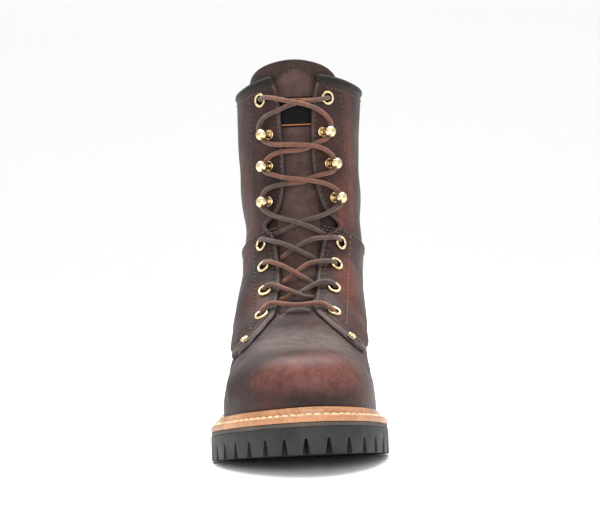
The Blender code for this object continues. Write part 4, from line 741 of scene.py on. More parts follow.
class Sheet:
    """A patch of the boot's face, trimmed to lines where a distance is zero."""

    def __init__(self, away):
        grid = SKIN + SKIN_NORMALS * away
        self.work = bmesh.new()
        self.way = self.work.verts.layers.float_vector.new("way")
        self.rim = self.work.verts.layers.float.new("rim")
        self.field = self.work.verts.layers.float.new("field")
        self.zone = self.work.verts.layers.float.new("zone")
        made = {}
        for i in range(ROWS):
            closed = np.linalg.norm(PLAIN[i, 0] - PLAIN[i, -1]) < 0.01
            for j in range(AROUND):
                if closed and j == AROUND - 1:
                    made[(i, j)] = made[(i, 0)]
                    continue
                vert = self.work.verts.new(grid[i, j])
                vert[self.way] = SKIN_NORMALS[i, j]
                vert[self.rim] = 99.0
                vert[self.zone] = -9.0
                made[(i, j)] = vert
        for i in range(ROWS - 1):
            for j in range(AROUND - 1):
                corners = (made[(i, j)], made[(i, j + 1)], made[(i + 1, j + 1)], made[(i + 1, j)])
                corners = list(dict.fromkeys(corners))
                if len(corners) > 2:
                    self.work.faces.new(corners)

    def places(self):
        return np.array([v.co for v in self.work.verts])

    def cut(self, values, keep):
        """Cuts along the line where the values are 0; the part below goes, unless both are kept."""
        for vert, value in zip(self.work.verts, values):
            vert[self.field] = 0.0 if abs(value) < 0.03 else float(value)
        for edge in list(self.work.edges):
            a, b = edge.verts
            if a[self.field] * b[self.field] < 0:
                share = a[self.field] / (a[self.field] - b[self.field])
                way = Vector(a[self.way]).lerp(Vector(b[self.way]), share)
                rim = a[self.rim] * (1 - share) + b[self.rim] * share
                _, vert = bmesh.utils.edge_split(edge, a, share)
                vert[self.field] = 0.0
                vert[self.way] = way
                vert[self.rim] = rim
        on_line = [v for v in self.work.verts if v[self.field] == 0.0]
        bmesh.ops.connect_verts(self.work, verts=on_line)
        if keep:
            return
        gone = [f for f in self.work.faces if min(v[self.field] for v in f.verts) < 0]
        bmesh.ops.delete(self.work, geom=gone, context="FACES")
        loose = [v for v in self.work.verts if not v.link_faces]
        bmesh.ops.delete(self.work, geom=loose, context="VERTS")
        for vert in self.work.verts:
            vert[self.rim] = min(vert[self.rim], vert[self.field])

    def trim(self, distance, loops=(0.5, 1.3)):
        """Trims the patch, with loops just inside the new rim."""
        self.cut(distance(self.places()), False)
        for step in loops:
            self.cut(distance(self.places()) - step, True)

    def mark(self, values):
        """Keeps a distance that is positive inside a strip or panel of another colour."""
        for vert, value in zip(self.work.verts, values):
            vert[self.zone] = float(np.clip(value, -9, 9))

    def mesh(self, name, fall=0.0, width=1.3):
        """The patch in metres, its rim rounded off by a fall."""
        for vert in self.work.verts:
            near = max(0.0, 1 - vert[self.rim] / width)
            vert.co -= Vector(vert[self.way]) * fall * near * near
        self.facing_out()
        for vert in self.work.verts:
            vert.co = Vector(at(*vert.co))
            vert[self.way] = at(*vert[self.way])
        mesh = bpy.data.meshes.new(name)
        self.work.to_mesh(mesh)
        self.work.free()
        mesh.shade_smooth()
        return mesh

    def facing_out(self):
        """Turns the faces so that they look outward."""
        for face in self.work.faces:
            face.normal_update()
        total = sum(f.normal.dot(Vector(f.verts[0][self.way])) for f in self.work.faces)
        if total < 0:
            bmesh.ops.reverse_faces(self.work, faces=self.work.faces)


def thickened(item, amount):
    shell = item.modifiers.new("thickness", "SOLIDIFY")
    shell.thickness = amount / 1000
    shell.offset = -1
    shell.use_rim = True
    return item


def front_of(places):
    return places[:, [1, 2]]


def side_of(places):
    return places[:, [0, 2]]


FACE_FRONT = FACE_BACK * SOLE_LENGTH
FOLD = 2.4  # width of the turned edge along the throat
THROAT = throat_outline()
COLLAR_LINE = rounded(side(COLLAR_SIDE), 4)
QUARTER_GAP = quarter_gap()
QUARTER_LINE = rounded(side(QUARTER_SIDE), 3)
COUNTER_LINE = side(COUNTER_SIDE)


def outside_throat(places):
    return np.where(places[:, 0] < FACE_FRONT, 50.0, -outline_distance(front_of(places), THROAT))


def below_collar(places):
    return outline_distance(side_of(places), COLLAR_LINE + [(-80, 230), (-80, -50), (400, -50), (400, 270)])


def clear_of_holes(places):
    nearest = np.full(len(places), 50.0)
    for point, way in HOLES:
        gap = places - point
        along = gap @ way
        away = np.linalg.norm(gap - along[:, None] * way, axis=1) - EYELET_HOLE
        nearest = np.where(np.abs(along) < 9, np.minimum(nearest, away), nearest)
    return nearest


def along_gap(places):
    """Distance from the front edges of the quarters."""
    return np.where(places[:, 0] < FACE_FRONT, 50.0, -outline_distance(front_of(places), QUARTER_GAP))


def quarter_reach(sign):
    def distance(places):
        inside = outline_distance(side_of(places), QUARTER_LINE)
        behind = places[:, 0] < FACE_FRONT
        gap = along_gap(places)
        half = np.where(behind, places[:, 1] * sign - BACKSTAY_HALF - GAP, (places[:, 1] - SPLIT) * sign)
        return np.minimum(np.minimum(inside, gap), half)
    return distance


def above_bead(places):
    edge = welt_top(np.clip(places[:, 0], 0, SOLE_LENGTH)) + BEAD_HEIGHT + GAP
    return np.minimum(outline_distance(side_of(places), COUNTER_LINE), places[:, 2] - edge)


def back_strip(places):
    low, high = (share * COLLAR_HEIGHT for share in BACKSTAY_SPAN)
    return np.minimum.reduce([
        BACKSTAY_HALF - np.abs(places[:, 1]), places[:, 2] - low, high - places[:, 2], 40.0 - places[:, 0],
    ])


def collar_band(places):
    top = below_collar(places)
    return np.minimum.reduce([top, BINDING_WIDTH - top, outside_throat(places)])


def make_upper():
    sheet = Sheet(0.0)
    sheet.trim(below_collar)
    sheet.trim(outside_throat)
    sheet.trim(clear_of_holes, ())
    sheet.mark(FOLD - outside_throat(sheet.places()))
    thickened(piece("upper_leather", sheet.mesh("upper_leather", 0.5), "oiled_leather", "upper"), LEATHER)


def make_panels():
    for name, sign in (("lateral", -1), ("medial", 1)):
        sheet = Sheet(OVERLAY)
        sheet.trim(quarter_reach(sign))
        sheet.trim(clear_of_holes, ())
        sheet.mark(FOLD - along_gap(sheet.places()))
        mesh = sheet.mesh("quarter_leather_" + name, 0.9)
        thickened(piece(mesh.name, mesh, "panel_leather", "quarter_" + name), OVERLAY - 0.1)
    for name, slot, reach_of, away in (
        ("counter", "panel_leather", above_bead, OVERLAY),
        ("backstay", "panel_leather", back_strip, OVERLAY),
        ("collar_binding", "dark_leather", collar_band, BINDING),
    ):
        sheet = Sheet(away)
        sheet.trim(reach_of)
        mesh = sheet.mesh(name + "_leather", *((1.7, 3.3) if name == "collar_binding" else (0.8, 1.3)))
        thickened(piece(mesh.name, mesh, slot, name), away - 0.1)


def on_tongue(places):
    inside = outline_distance(front_of(places), TONGUE_LINE)
    return np.minimum(inside, places[:, 0] - TONGUE_BACK * SOLE_LENGTH)


TONGUE_LINE = rounded(front(TONGUE_FRONT), 4, closed=True)
TONGUE_DEPTH = -LEATHER - TONGUE_SPACE


def make_tongue():
    sheet = Sheet(TONGUE_DEPTH)
    sheet.trim(on_tongue, (0.7, 1.6, 3.0))
    panel = rounded(front(TONGUE_PANEL), 4, closed=True)
    gaps = outline_distance(front_of(sheet.places()), panel)
    for vert, gap in zip(sheet.work.verts, gaps):
        groove = 0.9 * math.exp(-((gap / 1.3) ** 2))
        swell = 0.8 * min(1.0, max(0.0, -gap - 1.0) / 4)
        vert.co += Vector(vert[sheet.way]) * (swell * 0.5 - groove)
    sheet.mark(gaps)
    mesh = sheet.mesh("tongue_pad", 0.9, 3.0)
    tongue = thickened(piece("tongue_pad", mesh, "tongue_leather", "tongue"), TONGUE_THICK)
    patch = rounded(front(LABEL_FRONT), 1)
    sheet = Sheet(TONGUE_DEPTH + GAP + LABEL_THICK)
    sheet.trim(lambda places: np.where(
        places[:, 0] < FACE_FRONT, -50.0, outline_distance(front_of(places), patch)
    ))
    mesh = sheet.mesh("patch_cloth", 0.3)
    thickened(piece("patch_cloth", mesh, "plain_patch", "tongue_label"), LABEL_THICK)


def band(base, rings, size):
    """Faces between rings of points that follow one another, from point number base on."""
    faces = []
    for k in range(rings - 1):
        for n in range(size):
            m = (n + 1) % size
            a = base + k * size
            faces.append((a + n, a + m, a + size + m, a + size + n))
    return faces


def solid_mesh(name, points, faces, weld=False):
    """A mesh whose faces all look outward."""
    mesh = bpy.data.meshes.new(name)
    mesh.from_pydata(points, [], faces)
    turn_out(mesh, weld)
    return mesh


def turn_out(mesh, weld=False):
    work = bmesh.new()
    work.from_mesh(mesh)
    if weld:
        bmesh.ops.remove_doubles(work, verts=work.verts, dist=0.000001)
    bmesh.ops.recalc_face_normals(work, faces=work.faces)
    work.to_mesh(mesh)
    work.free()


def strand(name, paths, radii, sides=14):
    """Round bars along paths of f, x, z, with lengths along and around them as a map."""
    points = []
    faces = []
    lengths = []
    for path, widths in zip(paths, radii):
        path = np.asarray(path, float)
        along = np.gradient(path, axis=0)
        along /= np.linalg.norm(along, axis=1)[:, None]
        run = walked(path)
        cross = np.cross(along[0], (0.3, 0.2, 1.0))
        base = len(points)
        for k, (p, way, width) in enumerate(zip(path, along, widths)):
            cross = cross - way * np.dot(cross, way)
            cross /= np.linalg.norm(cross)
            other = np.cross(way, cross)
            for n in range(sides):
                angle = 2 * math.pi * n / sides
                points.append(at(*(p + width * (cross * math.cos(angle) + other * math.sin(angle)))))
                lengths.append(run[k])
        faces += band(base, len(path), sides)
        faces.append(tuple(base + n for n in range(sides)))
        faces.append(tuple(base + (len(path) - 1) * sides + n for n in range(sides))[::-1])
    mesh = bpy.data.meshes.new(name)
    mesh.from_pydata(points, [], faces)
    layer = mesh.uv_layers.new(name="lay")
    for face in mesh.polygons:
        corners = [mesh.loops[k].vertex_index for k in face.loop_indices]
        turns = [c % sides for c in corners]
        wraps = max(turns) - min(turns) > sides / 2
        for k, c, turn in zip(face.loop_indices, corners, turns):
            if wraps and turn == 0:
                turn = sides
            layer.data[k].uv = (lengths[c] / 4.0, turn / sides)
    turn_out(mesh)
    mesh.shade_smooth()
    return mesh


def turned(profile, places, sides=36):
    """A profile of radius, height turned round the outward direction at each place, as one mesh."""
    points = []
    faces = []
    for point, way in places:
        way = way / np.linalg.norm(way)
        cross = np.cross(way, (0.1, 0.2, 1.0))
        cross /= np.linalg.norm(cross)
        other = np.cross(way, cross)
        base = len(points)
        for radius, height in profile:
            for n in range(sides):
                angle = 2 * math.pi * n / sides
                spoke = cross * math.cos(angle) + other * math.sin(angle)
                points.append(at(*(point + way * height + radius * spoke)))
        faces += band(base, len(profile), sides)
    mesh = solid_mesh("turned", points, faces, True)
    mesh.shade_smooth()
    return mesh


def joined(name, meshes):
    """Several meshes as one."""
    work = bmesh.new()
    for mesh in meshes:
        work.from_mesh(mesh)
    result = bpy.data.meshes.new(name)
    work.to_mesh(result)
    work.free()
    result.shade_smooth()
    return result


def arc(radius, height, turn, start, end, count=7):
    """Points on a small round, for the profile of a turned piece."""
    angles = np.linspace(math.radians(start), math.radians(end), count)
    return [(radius + turn * math.cos(a), height + turn * math.sin(a)) for a in angles]


def fastenings():
    """Kind, name, x, z of each, and whether it sits on a quarter."""
    found = []
    for name, places in (("lateral", EYELETS_OUTER), ("medial", EYELETS_INNER)):
        for k, (x, z) in enumerate(front(places)):
            found.append(("eyelet", f"{name}_{k + 1}", x, z, True))
    for name, places in (("lateral", HOOKS_OUTER), ("medial", HOOKS_INNER)):
        for k, (x, z) in enumerate(front(places)):
            found.append(("hook", f"{name}_{k + 1}", x, z, False))
    for name, (x, z) in zip(("lateral", "medial"), front(TOP_EYELETS)):
        found.append(("eyelet", f"{name}_5", x, z, False))
    for name, (x, z) in zip(("lateral", "medial"), front(RIVETS)):
        found.append(("rivet", name, x, z, True))
    return found


HOLES = []
for kind, name, x, z, on_quarter in fastenings():
    if kind == "eyelet":
        HOLES.append(seat(x, z, (OVERLAY if on_quarter else 0.0) + GAP, EYELET_RADIUS))


def make_fastenings():
    """Brass eyelets with rolled rims, speed hooks with ball heads, and the two foot rivets."""
    for kind, name, x, z, on_quarter in fastenings():
        base = (OVERLAY if on_quarter else 0.0) + GAP
        if kind == "eyelet":
            ring = (EYELET_RADIUS - EYELET_HOLE) / 2
            middle = (EYELET_RADIUS + EYELET_HOLE) / 2
            profile = [(EYELET_RADIUS, -0.4)] + arc(middle, 0.2, ring, 0, 180, 12)
            profile += [(EYELET_HOLE - 0.05, -base - LEATHER), (EYELET_HOLE + 1.2, -base - LEATHER - 0.1)]
            place = seat(x, z, base, EYELET_RADIUS)
            piece("eyelet_ring_" + name, turned(profile, [place]), "brass", "eyelet_" + name)
        elif kind == "rivet":
            profile = [(0.0, 1.0), (0.8, 1.05), (1.0, 1.5), (1.6, 1.5)]
            profile += arc(1.9, 0.9, 1.0, 60, -60, 6) + [(2.6, -0.3)]
            place = seat(x, z, base, 2.5)
            piece("rivet_cap_" + name, turned(profile, [place]), "brass", "rivet_" + name)
        else:
            ball, way = from_front(x, z, HOOK_HEIGHT)
            ball_foot = ball - way * HOOK_HEIGHT
            foot, foot_way = seat(x - math.copysign(HOOK_REACH, x), z, GAP, HOOK_DISC)
            path = [foot + (ball_foot - foot) * share + way * height for share, height, _ in HOOK_NECK]
            widths = [width for _, _, width in HOOK_NECK]
            centre = foot + (ball_foot - foot) * HOOK_BALL[0] + way * HOOK_BALL[1]
            plate = [(0.0, 1.3), (HOOK_DISC - 1.0, 1.25)]
            plate += arc(HOOK_DISC - 0.6, 0.65, 0.6, 90, -60, 8) + [(HOOK_DISC - 0.9, -0.1)]
            head = arc(0.0, 0.0, BALL_RADIUS, 90, -90, 18)
            mesh = joined("hook_ball_" + name, [
                strand("neck", [path], [widths], 16),
                turned(plate, [(foot, foot_way)]),
                turned(head, [(centre, way)]),
            ])
            piece(mesh.name, mesh, "brass", "hook_" + name)


def dense(points, step=1.2):
    """A smooth path with points evenly spaced along it."""
    line = np.array(rounded(points, 8))
    run = walked(line)
    return spread_over(run, line, np.linspace(0, run[-1], max(3, int(run[-1] / step))))


def lace_path(run):
    """A run given as x, z shares and height, laid on the boot."""
    line = dense([(x * BALL_WIDTH, z * COLLAR_HEIGHT, height) for x, z, height in run])
    found = [from_front(x, z, height) for x, z, height in line]
    return smoothed(np.array([hit[0] for hit in found if hit is not None]), 3)


def smoothed(path, times):
    for _ in range(times):
        path[1:-1] = (path[:-2] + 2 * path[1:-1] + path[2:]) / 4
    return path


def tucked_in(run):
    """A run of lace led on under the edge of the throat, toward its eyelet."""
    first, second = (np.array([x * BALL_WIDTH, z * COLLAR_HEIGHT]) for x, z, _ in run[:2])
    way = (first - second) / np.linalg.norm(first - second)
    ends = []
    for reach_on, height in ((9.0, -4.8), (5.0, -3.6)):
        x, z = first + way * reach_on
        ends.append((x / BALL_WIDTH, z / COLLAR_HEIGHT, height))
    return ends + list(run)


def make_laces():
    """The bar at the bottom, then each crossing, whose runs end in eyelets or under the hooks' balls."""
    runs = [("lace_run_1", [LACE_BAR], "lace_1")]
    for number, pair in enumerate(LACE_CROSSINGS, 2):
        if number <= LAST_TUCKED:
            pair = [tucked_in(part) for part in pair]
        runs.append((f"lace_run_{number}", pair, f"lace_{number}"))
    for name, parts, node in runs:
        paths = [lace_path(part) for part in parts]
        mesh = strand(name, paths, [[CORD / 2] * len(path) for path in paths], 16)
        piece(name, mesh, "lace_cord", node)


def loop_round():
    """The sole's edge as a closed, evenly spaced loop, with inward directions."""
    outer = SOLE_OUTER[np.argsort(SOLE_OUTER[:, 0])]
    inner = SOLE_INNER[np.argsort(SOLE_INNER[:, 0])]
    loop = np.concatenate([outer * (1, -1), inner[-2:0:-1]])
    closed = np.concatenate([loop, loop[:1]])
    run = np.concatenate([[0], np.cumsum(np.hypot(*np.diff(closed, axis=0).T))])
    where = np.arange(EDGE_STATIONS) * run[-1] / EDGE_STATIONS
    points = spread_over(run, closed, where)
    for _ in range(6):
        points = (np.roll(points, 1, axis=0) + 2 * points + np.roll(points, -1, axis=0)) / 4
    along = np.roll(points, -1, axis=0) - np.roll(points, 1, axis=0)
    along /= np.linalg.norm(along, axis=1)[:, None]
    inward = np.stack([along[:, 1], -along[:, 0]], axis=1)
    if np.dot(inward[5], np.array([SOLE_LENGTH / 2, 0]) - points[5]) < 0:
        inward = -inward
    return points, inward


def ring_mesh(name, rings, capped=False, strips=False):
    """Rings of points joined into a band, closed round the boot; caps may be strips from side to side."""
    size = len(rings[0])
    points = [at(*q) for ring in rings for q in ring]
    faces = band(0, len(rings), size)
    for base in (0, (len(rings) - 1) * size) if capped else ():
        if strips:
            for k in range(size // 2):
                corners = (k, k + 1, size - k - 1, (size - k) % size)
                faces.append(tuple(base + c for c in dict.fromkeys(corners)))
        else:
            faces.append(tuple(range(base, base + size)))
    mesh = solid_mesh(name, points, faces)
    mesh.shade_smooth()
    return mesh


def bead_line(points, inward):
    """How far inward from the sole's edge the upper's face stands, a little above the welt."""
    found = []
    for p, way in zip(points, inward):
        z = float(welt_top(p[0])[0]) + 0.6 * BEAD_HEIGHT
        start = Vector((p[0] - 30 * way[0], p[1] - 30 * way[1], z))
        hit, _, _, far = tree_of(0.0).ray_cast(start, Vector((way[0], way[1], 0)))
        found.append(float(flange(p[0])) if hit is None else far - 30)
    found = np.array(found)
    for _ in range(8):
        found = (np.roll(found, 1) + 2 * found + np.roll(found, -1)) / 4
    return found


def make_welt():
    """Flange, stitch groove and smooth raised bead, round the whole boot."""
    points, inward = loop_round()
    faces = bead_line(points, inward)
    rings = []
    profile = [
        (4.0, -WELT_THICK + GAP, 0), (0.5, -WELT_THICK + GAP, 0), (0.15, -WELT_THICK + 0.6, 0),
        (0.0, -2.2, 0), (0.05, -0.9, 0), (0.35, -0.3, 0), (0.8, 0.0, 0), (1.1, 0.0, 0),
        (-5.2, -0.1, 1), (-4.6, -0.3, 1), (-4.1, -0.2, 1), (-3.7, 0.3, 1), (-3.4, 1.3, 1), (-3.15, 2.6, 1),
        (-2.8, BEAD_HEIGHT - 1.0, 1), (-2.2, BEAD_HEIGHT - 0.25, 1), (-1.4, BEAD_HEIGHT, 1),
        (-0.5, BEAD_HEIGHT - 0.1, 1), (0.2, BEAD_HEIGHT - 0.8, 1), (1.0, BEAD_HEIGHT - 2.0, 1),
        (1.4, -2.0, 1), (1.4, -WELT_THICK + GAP, 1),
    ]
    for d, h, from_upper in profile:
        ring = []
        for p, way, face in zip(points, inward, faces):
            q = p + way * (max(d + face, 1.4 + 0.02 * d) if from_upper else d)
            ring.append((q[0], q[1], float(welt_top(p[0])[0]) + h))
        rings.append(ring)
    rings.append(rings[0])
    piece("welt_strip", ring_mesh("welt_strip", rings), "tan_welt", "welt")


def wedges(stations, high, depth):
    """Grooves in the edge of the sole: wide at the ground, pointed at the top."""
    points = []
    faces = []
    for p, way, floor in stations:
        cross = np.array([-way[1], way[0]])
        base = len(points)
        for d, spread in ((-2 * GROOVE_WIDTH, GROOVE_WIDTH), (depth, GROOVE_WIDTH * GROOVE_TIP)):
            for z, flare in ((-LUG_DEPTH, GROOVE_FLARE), (high, 1 / GROOVE_FLARE)):
                for sign in (-1, 1):
                    q = p + way * d + cross * sign * spread * flare / 2
                    points.append((q[0], q[1], floor + z))
        for quad in ((0, 1, 3, 2), (4, 5, 7, 6), (0, 1, 5, 4), (2, 3, 7, 6), (0, 2, 6, 4), (1, 3, 7, 5)):
            faces.append(tuple(base + k for k in quad))
    return solid_mesh("wedges", [at(*q) for q in points], faces)


def carved(mesh, cutters):
    """A mesh with other meshes taken out of it and its edges eased."""
    item = bpy.data.objects.new("carved", mesh)
    bpy.context.scene.collection.objects.link(item)
    for other in cutters:
        tool = bpy.data.objects.new("tool", other)
        bpy.context.scene.collection.objects.link(tool)
        boolean = item.modifiers.new("cut", "BOOLEAN")
        boolean.operation = "DIFFERENCE"
        boolean.solver = "EXACT"
        boolean.object = tool
        bpy.context.view_layer.update()
        result = bpy.data.meshes.new_from_object(item.evaluated_get(bpy.context.evaluated_depsgraph_get()))
        item.modifiers.clear()
        item.data = result
        bpy.data.objects.remove(tool)
    bevel = item.modifiers.new("ease", "BEVEL")
    bevel.width = 0.0005
    bevel.segments = 2
    bevel.limit_method = "ANGLE"
    bevel.angle_limit = math.radians(38)
    bpy.context.view_layer.update()
    result = bpy.data.meshes.new_from_object(item.evaluated_get(bpy.context.evaluated_depsgraph_get()))
    bpy.data.objects.remove(item)
    result.shade_smooth()
    result.set_sharp_from_angle(angle=math.radians(32))
    return result


def slab(name, lines, low, high, stations, across=9):
    """A sheet between two side lines, from a lower to an upper height for each f."""
    rings = []
    for f in stations:
        a = -float(half_width(lines[0], f))
        b = float(half_width(lines[1], f))
        shares = (1 - np.cos(np.linspace(0, math.pi, across))) / 2
        bottom = [(f, a + (b - a) * s, low(f)) for s in shares]
        top = [(f, a + (b - a) * s, high(f)) for s in shares[::-1]]
        rings.append(bottom + top)
    return ring_mesh(name, rings, True)


def make_midsole():
    lines = moved_in(0.5)
    mesh = slab(
        "midsole_layer", lines,
        top_of(welt_top, WELT_THICK + MIDSOLE_THICK - GAP), top_of(welt_top, WELT_THICK),
        reach(lines, 160),
    )
    mesh.set_sharp_from_angle(angle=math.radians(35))
    piece("midsole_layer", mesh, "grey_layer", "midsole")


def make_outsole():
    """The lugged forepart, waist and heel seat."""
    lines = (SOLE_OUTER, SOLE_INNER)
    cut = HEEL_FRONT + 1
    stations = sorted([f for f in reach(lines, 130) if abs(f - cut) > 1.2] + [cut - 0.5, cut + 0.5])
    mesh = slab(
        "outsole_rubber", lines,
        lambda f: sole_floor(f) + (LUG_DEPTH if f < cut else 0),
        top_of(welt_top, WELT_THICK + MIDSOLE_THICK), stations, 5,
    )
    edges = edge_stations(GROOVE_PITCH, cut + GROOVE_START, SOLE_LENGTH, sole_floor)
    bars = []
    faces = []
    for f0, f1, x0, x1 in TREAD_BARS:
        base = len(bars)
        middle = (x0 + x1) / 2
        floor = sole_floor((f0 + f1) / 2 * SOLE_LENGTH)
        bent = [(f0, x0), (f0 + BAR_BEND, middle), (f0, x1), (f1, x1), (f1 + BAR_BEND, middle), (f1, x0)]
        for z in (-BAR_DEPTH, BAR_DEPTH):
            for f, x in bent:
                bars.append((f * SOLE_LENGTH, x * BALL_WIDTH, floor + z))
        faces.append(tuple(base + k for k in range(6)))
        faces.append(tuple(base + 6 + k for k in range(6)))
        for k in range(6):
            n = (k + 1) % 6
            faces.append((base + k, base + n, base + 6 + n, base + 6 + k))
    mesh = carved(mesh, [
        wedges(edges, LUG_DEPTH + 1.5, GROOVE_DEPTH),
        solid_mesh("bars", [at(*q) for q in bars], faces),
    ])
    piece("outsole_rubber", mesh, "black_rubber", "outsole")


def make_heel():
    """The heel block, tapered a little down to its tread, with grooves round its foot."""
    rings = []
    for share, taper in ((0.0, 1.0), (0.3, 0.45), (0.65, 0.12), (1.0, 0.0)):
        halves = []
        for line, sign in ((SOLE_OUTER, -1), (SOLE_INNER, 1)):
            half = []
            for f in spaced(0.0, HEEL_FRONT, 60, False):
                x = sign * float(half_width(line, f)) * (1 - HEEL_NARROWING * taper)
                top = sole_floor(f) + LUG_DEPTH - GAP
                place = HEEL_CENTRE + (f - HEEL_CENTRE) * (1 - HEEL_SHORTENING * taper) + HEEL_SHIFT * taper
                lean = -BREAST_LEAN * taper if f > HEEL_FRONT - 1 else 0.0
                half.append((place + lean, x, top * share))
            halves.append(half)
        rings.append(halves[0] + halves[1][:0:-1])
    mesh = ring_mesh("heel_block", rings, True, True)
    stations = []
    middle = np.array([HEEL_CENTRE, 0.0])
    for p, _, _ in edge_stations(GROOVE_PITCH, 0.0, HEEL_FRONT - GROOVE_WIDTH, lambda f: 0.0):
        if p[0] <= HEEL_FRONT - 2 * GROOVE_WIDTH:
            stations.append((p, (middle - p) / np.linalg.norm(middle - p), 0.0))
    mesh = carved(mesh, [wedges(stations, LUG_DEPTH, HEEL_GROOVE_DEPTH)])
    piece("heel_block", mesh, "black_rubber", "heel")


def seam_frame(along, way):
    """Directions along the seam, outward and across, at right angles to each other."""
    along = along / np.linalg.norm(along)
    way = way - along * np.dot(way, along)
    way = way / np.linalg.norm(way)
    return along, way, np.cross(along, way)


def stitches(name, marks, length, radius, look, slot):
    """Short sewn threads as one mesh. Each mark: place, direction along the seam, outward direction."""
    rings = np.array([
        (-0.50, 0.15, -0.9), (-0.42, 0.75, -0.2), (-0.18, 1.0, 0.2),
        (0.18, 1.0, 0.2), (0.42, 0.75, -0.2), (0.50, 0.15, -0.9),
    ])
    sides = 6
    points = []
    faces = []
    for place, along, way in marks:
        along, way, cross = seam_frame(along, way)
        base = len(points)
        for share, width, rise in rings:
            for n in range(sides):
                angle = 2 * math.pi * n / sides
                lift = way * radius * (rise + width * math.sin(angle))
                aside = cross * radius * width * math.cos(angle)
                points.append(at(*(place + along * share * length + lift + aside)))
        faces += band(base, len(rings), sides)
    mesh = bpy.data.meshes.new(name)
    mesh.from_pydata(points, [], faces)
    mesh.shade_smooth()
    return piece(name, mesh, slot, look=look)


def needle_holes(name, marks, length, radius, slot):
    """A flat dark disc at both ends of each stitch: painted shade in the needle holes."""
    sides = 8
    points = []
    faces = []
    for place, along, way in marks:
        along, way, cross = seam_frame(along, way)
        for end in (-0.5, 0.5):
            centre = place + along * end * length + way * 0.06
            base = len(points)
            points.append(at(*(centre - way * 0.05)))
            for n in range(sides):
                angle = 2 * math.pi * n / sides
                points.append(at(*(centre + radius * (along * math.cos(angle) + cross * math.sin(angle)))))
            faces += [(base, base + 1 + n, base + 1 + (n + 1) % sides) for n in range(sides)]
    mesh = bpy.data.meshes.new(name)
    mesh.from_pydata(points, [], faces)
    mesh.shade_smooth()
    return piece(name, mesh, slot, look="needle_hole_shade")


def marks_along(places, ways, pitch):
    """Evenly spaced stitches along a line of places with their outward directions."""
    places = np.asarray(places)
    ways = np.asarray(ways)
    run = walked(places)
    count = max(2, int(run[-1] / pitch))
    found = []
    for k in range(count):
        w = (k + 0.5) * run[-1] / count
        before, spot, after = spread_over(run, places, [w - 0.5, w, w + 0.5])
        found.append((spot, after - before, spread_over(run, ways, w)))
    return found


def seam(hits, pitch):
    hits = [hit for hit in hits if hit is not None]
    return marks_along([hit[0] for hit in hits], [hit[1] for hit in hits], pitch)


def seam_front(points, away, pitch=STITCH):
    """Stitch places along a line of x, z in mm seen from the front."""
    return seam([from_front(x, z, away) for x, z in dense(points, 1.0)], pitch)


def seam_side(points, half, away):
    """The same along a line of f, z in mm seen from one side."""
    return seam([from_side(f, z, half, away) for f, z in dense(points, 1.0)], STITCH)


def moved_line(points, amount):
    """An open flat line moved sideways."""
    points = np.asarray(points, float)
    along = np.gradient(points, axis=0)
    along /= np.linalg.norm(along, axis=1)[:, None]
    return points + np.stack([-along[:, 1], along[:, 0]], axis=1) * amount


def kept(marks, reach, margin=0.8):
    """Only the stitches that lie inside a piece."""
    inside = reach(np.array([mark[0] for mark in marks]))
    return [mark for mark, value in zip(marks, inside) if value > margin]


